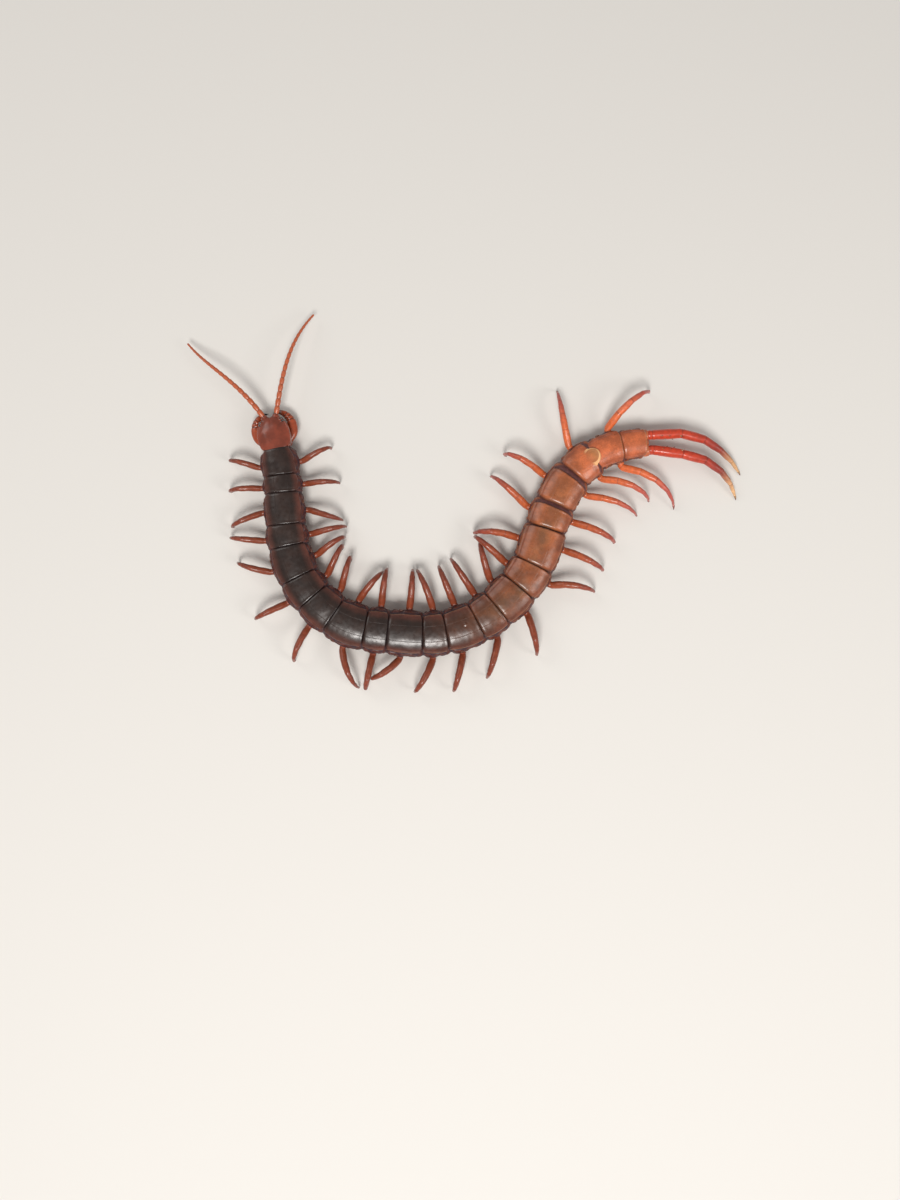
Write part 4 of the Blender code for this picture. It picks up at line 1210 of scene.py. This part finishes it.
def shell_finish(colours):
    """Glossy shell, dark in front and redder towards the tail, partly as painted shade, with painted shade
    along the seams between plates, painted highlights on the rims, and pale specks.
    """
    looks = Looks("back_shell", 0.32, 0.35, 0.22)
    across, along, body = looks.marks()
    aside = abs(across)
    tail = body.band(0.46, 0.86)
    # The shell darkens from the tail towards the front partly as its own colour and partly as painted shade
    colour = looks.mix(tail, colours.front_shell, colours.tail_shell)
    colour = looks.mix(body.band(0.84, 0.93), colour, colours.last_shell)
    middle = aside.band(0.1, 0.7, 1.0, 0.0) * looks.noise(0.16, 2.0).band(0.35, 0.65, 0.0, 0.45)
    colour = looks.mix(middle * (body.band(0.55, 0.68) * body.band(0.76, 0.88, 1.0, 0.15)), colour, OLIVE)
    colour = looks.mix(aside.band(0.55, 1.0, 0.0, 0.55), colour, RUSSET)
    cloud = looks.noise(0.28, 4.0).band(0.35, 0.7, 0.72, 1.22)
    colour = looks.shaded(colour, cloud * looks.noise(2.2, 5.0, 0.65).band(0.3, 0.7, 0.86, 1.12))
    # Painted shade: the front and rear ends of each plate are darkened where the seam between the plates lies
    # in shade
    seam_shade = along.band(0.0, 0.09, 0.75, 0.0).maths("MAXIMUM", along.band(0.955, 1.0, 0.0, 0.55))
    colour = speckled(looks, looks.mix(seam_shade, colour, SEAM_SHADE), tail)
    # Painted highlights: pale lines along the side ridges of the plates and along the hind edge of the last
    # plate, where the rims catch light
    line = abs(aside - 0.955).band(0.008, 0.024, 1.0, 0.0) * body.band(0.3, 0.5, 0.0, 0.2)
    hind = along.band(0.945, 0.97) * body.band(0.955, 0.965, 0.0, 0.3)
    colour = looks.mix(line.maths("MAXIMUM", hind), colour, scaled(colours.pale_rim, 0.7))
    colour = pale_lip(looks, colour, across, along, body, colours.pale_rim)
    looks.connect(looks.shader, {"Roughness": looks.noise(0.9, 4.0, 0.6).band(0.25, 0.75, 0.26, 0.42)})
    looks.bump(0.012, 0.6, 5.0, 2.0)
    looks.bump(0.03, 0.5, 1.1, 3.0)
    return looks.painted(colour)


def speckled(looks, colour, amount):
    """Scattered pale specks on a colour."""
    for per_mm, reach, chance in ((0.9, 0.10, 0.70), (2.2, 0.15, 0.80)):
        inputs = {"Vector": looks.place, "Scale": per_mm / MM, "Randomness": 1.0}
        distance = looks.field("TexVoronoi", inputs, "Distance")
        chosen = looks.field("SeparateColor", {0: distance.other("Color")}).band(chance, chance + 0.04)
        share = distance.band(0.4 * reach, reach, 1.0, 0.0) * chosen * (amount * 0.6)
        colour = looks.mix(share, colour, SPECK)
    return colour


def pale_lip(looks, colour, across, along, body, pale):
    """Round hind lip on the middle of one plate, olive inside its pale rim, which is partly the lip's own pale
    edge and partly a painted highlight.
    """
    half_width = HALF_WIDTHS[LIPPED_PLATE - 1] * np.interp(LIPPED_PLATE, *PLATE_COVER_STOPS)
    aside = across * half_width - LIP_CENTRE[1]
    behind = body * WHOLE_LENGTH - LIP_CENTRE[0]
    inward = LIP_RADIUS - (aside.maths("POWER", 2.0) + behind.maths("POWER", 2.0)).maths("SQRT")
    on_lip = along.band(0.4, 0.45) * inward.band(-0.4, -0.3)
    colour = looks.mix(on_lip * behind.band(-2.4, 1.2, 0.0, 0.55), colour, LIP_OLIVE)
    rim = aside.band(-LIP_RADIUS, LIP_RADIUS, 0.3, 0.9) - inward
    # The pale rim: partly the lip's own colour and partly painted highlight
    return looks.mix(on_lip * (rim.band(-0.1, 0.1) * behind.band(-1.6, -0.2)), colour, pale)


def membrane_finish(colours):
    """Soft wrinkled skin between the plates, purplish in front and browner behind."""
    looks = Looks("soft_skin", 0.52, 0.08, subsurface=0.08)
    hard, height, body = looks.marks()
    colour = looks.mix(body.band(0.6, 0.85), colours.membrane, colours.tail_membrane)
    colour = looks.mix(height.band(0.30, 0.52, 1.0, 0.0) * 0.55, colour, scaled(colours.belly, 0.55))
    patch = (scaled(colours.head_shell, 0.5), scaled(colours.tail_shell, 0.85))
    patch = looks.mix(body.band(0.5, 0.85), *patch)
    colour = looks.mottled(looks.mix(hard * 0.85, colour, patch), 0.7, 1.25, 0.8, 5.0, 0.6)
    looks.bump(0.09, 0.9, 2.4, 4.0, 0.6)
    looks.bump(0.02, 0.5, 7.0, 2.0)
    return looks.painted(colour)


def belly_finish(colours):
    """Paler, less glossy plates of the underside."""
    looks = Looks("belly_shell", 0.4, 0.2)
    _, along, body = looks.marks()
    colour = looks.mix(body.band(0.5, 1.0), colours.belly, scaled(colours.leg_root, 0.62))
    colour = looks.mix(abs(along - 0.5).band(0.38, 0.5, 0.0, 0.6), colour, scaled(colours.belly, 0.35))
    looks.bump(0.03, 0.6, 3.0)
    return looks.painted(looks.mottled(colour, 0.78, 1.15, 0.6, 5.0))


def leg_finish(name, root, tip, end, end_start, colours):
    """Waxy orange legs, redder towards their feet, darker at each joint."""
    looks = Looks(name, 0.34, 0.25, 0.12, 0.1)
    looks.connect(looks.shader, {"Specular IOR Level": 0.35})
    along, facing_up, body = looks.marks()
    colour = looks.mix(along.band(0.30, 0.72), root, tip)
    # The legs of the front half, and their feet more so, are darker, partly as their own colour and partly as
    # painted shade
    colour = looks.mix(body.band(0.6, 0.97, 0.9, 0.0), colour, colours.leg_front)
    end = looks.mix(body.band(0.6, 0.88), scaled(tip, 0.5), end)
    colour = looks.mix(along.band(end_start, end_start + 0.3), colour, end)
    colour = looks.mix(along.band(0.0, 0.13, 0.75, 0.0), colour, scaled(colours.tail_membrane, 1.3))
    to_joint = abs((along * 6.0).maths("FRACT") - 0.5)
    joint = to_joint.band(0.46, 0.495) * along.band(0.1, 0.16, 0.0, 0.5)
    colour = looks.mix(joint, colour, scaled(tip, 0.4))
    colour = looks.mix(facing_up.band(-1.0, -0.1, 0.3, 0.0), colour, scaled(root, 1.1))
    looks.bump(0.02, 0.6, 3.0)
    return looks.painted(looks.mottled(colour, 0.82, 1.15, 0.9, 4.0, 0.6))


def horn_finish(name, root, tip):
    """Hard claws and spines, darker towards their tips."""
    looks = Looks(name, 0.22, 0.5, 0.08)
    return looks.painted(looks.mix(looks.marks()[0].band(0.3, 0.8), root, tip))


def feeler_finish(colours):
    """Feelers, smooth and glossy at the root and velvety beyond it."""
    looks = Looks("feeler_skin", 0.4, 0.1)
    along = looks.marks()[0]
    articles = (along * float(ANTENNA_ARTICLES)).maths("FRACT")
    colour = looks.mix(along.band(0.25, 0.4), scaled(colours.feeler, 0.95), colours.feeler)
    colour = looks.mix(abs(articles - 0.5).band(0.40, 0.5, 0.0, 0.7), colour, scaled(colours.feeler, 0.3))
    looks.connect(looks.shader, {"Roughness": along.band(0.28, 0.36, 0.28, 0.6)})
    looks.bump(0.02, 0.7, 9.0, 2.0)
    return looks.painted(colour)


def head_finish(colours):
    """Glossy reddish shell of the head."""
    looks = Looks("head_shell", 0.28, 0.45)
    edge = abs(looks.marks()[0]).band(0.6, 1.0, 0.0, 0.6)
    colour = looks.mix(edge, colours.head_shell, scaled(colours.head_shell, 1.5))
    looks.bump(0.012, 0.6, 5.0, 2.0)
    looks.bump(0.025, 0.5, 1.3, 3.0)
    return looks.painted(looks.mottled(colour, 0.75, 1.2, 0.4, 4.0))


def fang_finish(colours):
    """Poison claws, amber at the root and black at the tip."""
    looks = Looks("fang_shell", 0.25, 0.5, 0.1)
    along = looks.marks()[0]
    colour = looks.mix(along.band(0.70, 0.88), colours.fang, colours.claw)
    near_joint = 0.0
    for joint in FORCIPULE_JOINTS:
        near_joint = abs(along - joint).band(0.0042, 0.014, 1.0, 0.0) + near_joint
    colour = looks.mix(near_joint * 0.8, colour, scaled(colours.fang, 0.2))
    looks.bump(0.015, 0.5, 4.0, 2.0)
    return looks.painted(looks.mottled(colour, 0.8, 1.15, 0.8, 4.0))


def plain_finish(name, colour, roughness, coat):
    """Even material with slight mottling and a fine relief."""
    looks = Looks(name, roughness, coat, 0.08)
    looks.bump(0.01, 0.5, 4.0, 2.0)
    return looks.painted(looks.mottled(colour, 0.8, 1.2, 1.2, 3.0))


def add_light(context, name, place, size, power):
    """Soft square light that faces the animal."""
    light = bpy.data.lights.new(name, "AREA")
    light.shape = "RECTANGLE"
    light.size = light.size_y = size
    light.energy = power
    light.color = LAMP_COLOUR
    lamp = bpy.data.objects.new(name, light)
    context.scene.collection.objects.link(lamp)
    lamp.location = place
    target = np.array(LIT_POINT) - np.array(place)
    flat = math.hypot(target[0], target[1])
    lamp.rotation_euler = (math.atan2(flat, -target[2]), 0.0, math.atan2(-target[0], target[1]))


class MakeStage(Operator):
    """Lays the floor and sets the camera and the soft lights"""
    bl_idname = "centipede.make_stage"
    bl_label = "Floor, camera and lights"

    def execute(self, context):
        bpy.ops.mesh.primitive_plane_add(size=FLOOR_EDGE, location=(0.0, 0.0, -FLOOR_GAP))
        floor = context.object
        floor.name = "floor"
        colour = (*context.scene.centipede_colours.floor, 1.0)
        floor.data.materials.append(Looks("pale_floor", 0.85).painted(colour))
        camera = bpy.data.objects.new("camera", bpy.data.cameras.new("camera"))
        context.scene.collection.objects.link(camera)
        camera.location = CAMERA_PLACE
        camera.data.sensor_fit = "VERTICAL"
        camera.data.sensor_height = CAMERA_SENSOR
        camera.data.lens = CAMERA_LENS
        camera.data.clip_start = NEAREST_SEEN
        context.scene.camera = camera
        for name, (place, size, power) in LIGHTS.items():
            add_light(context, name, place, size, power)
        world = bpy.data.worlds.new("studio")
        world.use_nodes = True
        glow = world.node_tree.nodes["Background"].inputs
        glow["Color"].default_value = SKY_COLOUR
        glow["Strength"].default_value = SKY_STRENGTH
        context.scene.world = world
        context.scene.view_settings.view_transform = "Standard"
        return {"FINISHED"}


class MakeTrunkSkin(Operator):
    """Makes the soft skin of the trunk with its breathing holes and the swollen tail sides"""
    bl_idname = "centipede.make_trunk_skin"
    bl_label = "Trunk skin"

    def execute(self, context):
        sizes = sizes_of(context.scene.centipede_trunk)
        finish = membrane_finish(context.scene.centipede_colours)
        make_piece("trunk_skin", [trunk_skin(sizes)], finish, TRUNK_NODES)
        holes = [hole for number in SPIRACLE_SEGMENTS for hole in both(spiracle, number)]
        make_piece("breathing_holes", holes, finish, TRUNK_NODES)
        shell = shell_finish(context.scene.centipede_colours)
        make_piece("tail_sides", sum(both(tail_side), [tail_end()]), shell, TRUNK_NODES[-1:])
        return {"FINISHED"}


class MakePlates(Operator):
    """Makes the hard plates over the back and under the belly of each segment"""
    bl_idname = "centipede.make_plates"
    bl_label = "Back and belly plates"

    def execute(self, context):
        sizes = sizes_of(context.scene.centipede_trunk)
        shell = shell_finish(context.scene.centipede_colours)
        under = belly_finish(context.scene.centipede_colours)
        for number in range(1, LAST + 1):
            nodes = [TRUNK_NODES[(number - 1) * len(TRUNK_NODES) // LAST]]
            for part, maker, finish in (("back", back_plate, shell), ("belly", belly_plate, under)):
                plate = [maker(number, sizes)]
                make_piece(f"{part}_plate_{number:02d}", plate, finish, nodes)
        return {"FINISHED"}


class MakeHead(Operator):
    """Makes the head with its shield, mouth palps, eyes and feelers"""
    bl_idname = "centipede.make_head"
    bl_label = "Head, eyes and feelers"

    def execute(self, context):
        sizes = sizes_of(context.scene.centipede_head)
        colours = context.scene.centipede_colours
        shell = head_finish(colours)
        skull = [head_capsule(sizes)] + both(antenna_socket)
        make_piece("head_capsule", skull, shell, ["head"])
        shield = [head_shield(sizes, sizes_of(context.scene.centipede_trunk).rim)] + both(eye_swelling)
        make_piece("head_shield", shield, shell, ["head"])
        make_piece("mouth_palps", both(mouth_palp), fang_finish(colours), ["head"])
        black = plain_finish("eye_gloss", colours.eye, 0.08, 1.0)
        feeler = feeler_finish(colours)
        for name, side in SIDES.items():
            make_piece(f"eye_group_{name}", eye_group(side, sizes.eye), black, [f"eyes_{name}"])
            articles = [antenna(name, sizes.antenna)]
            make_piece(f"feeler_{name}", articles, feeler, [f"antenna_{name}"])
        return {"FINISHED"}


class MakePoisonClaws(Operator):
    """Makes the poison claws, the broad plate that carries them and its teeth"""
    bl_idname = "centipede.make_poison_claws"
    bl_label = "Poison claws"

    def execute(self, context):
        colours = context.scene.centipede_colours
        base = [forcipule_plate()] + both(tooth_plate)
        make_piece("poison_claw_plate", base, head_finish(colours), ["forcipule_base"])
        row = sum(both(teeth, sizes_of(context.scene.centipede_head).tooth), [])
        black = plain_finish("tooth_black", colours.claw, 0.2, 0.5)
        make_piece("plate_teeth", row, black, ["forcipule_base"])
        fang = fang_finish(colours)
        for name, side in SIDES.items():
            make_piece(f"poison_claw_{name}", forcipule(side), fang, [f"forcipule_{name}"])
        return {"FINISHED"}


class MakeLegs(Operator):
    """Makes the forty walking legs with their claws and spurs"""
    bl_idname = "centipede.make_legs"
    bl_label = "Walking legs"

    def execute(self, context):
        sizes = sizes_of(context.scene.centipede_legs)
        colours = context.scene.centipede_colours
        finish = leg_finish("leg_shell", colours.leg_root, colours.leg_tip, colours.leg_end, 0.74, colours)
        horn = horn_finish("claw_horn", scaled(colours.leg_tip, 0.5), colours.claw)
        stops = girth_stops(WALKING_GIRTHS, WALKING_ROOT)
        for name in SIDES:
            claws = []
            nodes = [f"leg_{name}_{number:02d}" for number in range(1, LAST)]
            for number, node in enumerate(nodes, start=1):
                joints = leg_joints(number, name)
                girth = np.interp(number, *LEG_GIRTH_STOPS)
                trims = [min(1.1, 0.95 * girth)] + [share * girth for share in WALKING_TRIMS]
                surface = limb(joints, girth, stops, trims, 26, hip_place(number, name) / WHOLE_LENGTH)
                make_piece(f"walking_{node}", [surface], finish, [node])
                claws += claw(joints, sizes.claw_root * girth, sizes.claw_tip)
                claws.append(spur(joints, girth, sizes.spur))
            make_piece(f"foot_claws_{name}", claws, horn, nodes)
        return {"FINISHED"}


class MakeLastLegs(Operator):
    """Makes the stout last pair of legs with their spines and claws"""
    bl_idname = "centipede.make_last_legs"
    bl_label = "Last legs"

    def execute(self, context):
        sizes = sizes_of(context.scene.centipede_legs)
        colours = context.scene.centipede_colours
        tints = (colours.last_root, colours.last_middle, colours.last_tip)
        finish = leg_finish("last_leg_shell", *tints, 0.62, colours)
        horn = horn_finish("spine_horn", scaled(colours.last_tip, 0.5), scaled(colours.fang, 0.3))
        stops = girth_stops(TERMINAL_GIRTHS, TERMINAL_ROOT)
        for name, side in SIDES.items():
            joints = terminal_joints(name)
            nodes = [f"terminal_leg_{name}"]
            surface = limb(joints, TERMINAL_GIRTH, stops, TERMINAL_TRIMS, 36, 1.0)
            make_piece(f"last_leg_{name}", [surface], finish, nodes)
            spines = thigh_spines(joints, TERMINAL_GIRTH, side, sizes.spine)
            spines += claw(joints, 1.3 * sizes.claw_root, sizes.claw_tip)
            make_piece(f"last_leg_spines_{name}", spines, horn, nodes)
        return {"FINISHED"}


class CentipedePanel(Panel):
    """Lists the steps that make the animal"""
    bl_idname = "VIEW3D_PT_centipede"
    bl_label = "Giant centipede"
    bl_space_type = "VIEW_3D"
    bl_region_type = "UI"
    bl_category = "Centipede"

    def draw(self, context):
        for operator in OPERATORS:
            self.layout.operator(operator.bl_idname)
        for name in GROUPS:
            group = getattr(context.scene, name)
            box = self.layout.box()
            for key in type(group).__annotations__:
                box.prop(group, key)


OPERATORS = [MakeStage, MakeTrunkSkin, MakePlates, MakeHead, MakePoisonClaws, MakeLegs, MakeLastLegs]
GROUPS = {
    "centipede_trunk": TrunkSizes, "centipede_head": HeadSizes, "centipede_legs": LegSizes,
    "centipede_colours": Colours,
}


def register():
    """Registers the classes and gives the scene their properties."""
    for item in [*GROUPS.values(), *OPERATORS, CentipedePanel]:
        bpy.utils.register_class(item)
    for name, group in GROUPS.items():
        setattr(bpy.types.Scene, name, PointerProperty(type=group))


def unregister():
    """Takes the properties and the classes away again."""
    for name in GROUPS:
        delattr(bpy.types.Scene, name)
    for item in [CentipedePanel, *OPERATORS[::-1], *GROUPS.values()]:
        bpy.utils.unregister_class(item)


def main():
    """Makes every piece in order."""
    register()
    for operator in OPERATORS:
        family, name = operator.bl_idname.split(".")
        getattr(getattr(bpy.ops, family), name)()


if __name__ == "__main__":
    main()
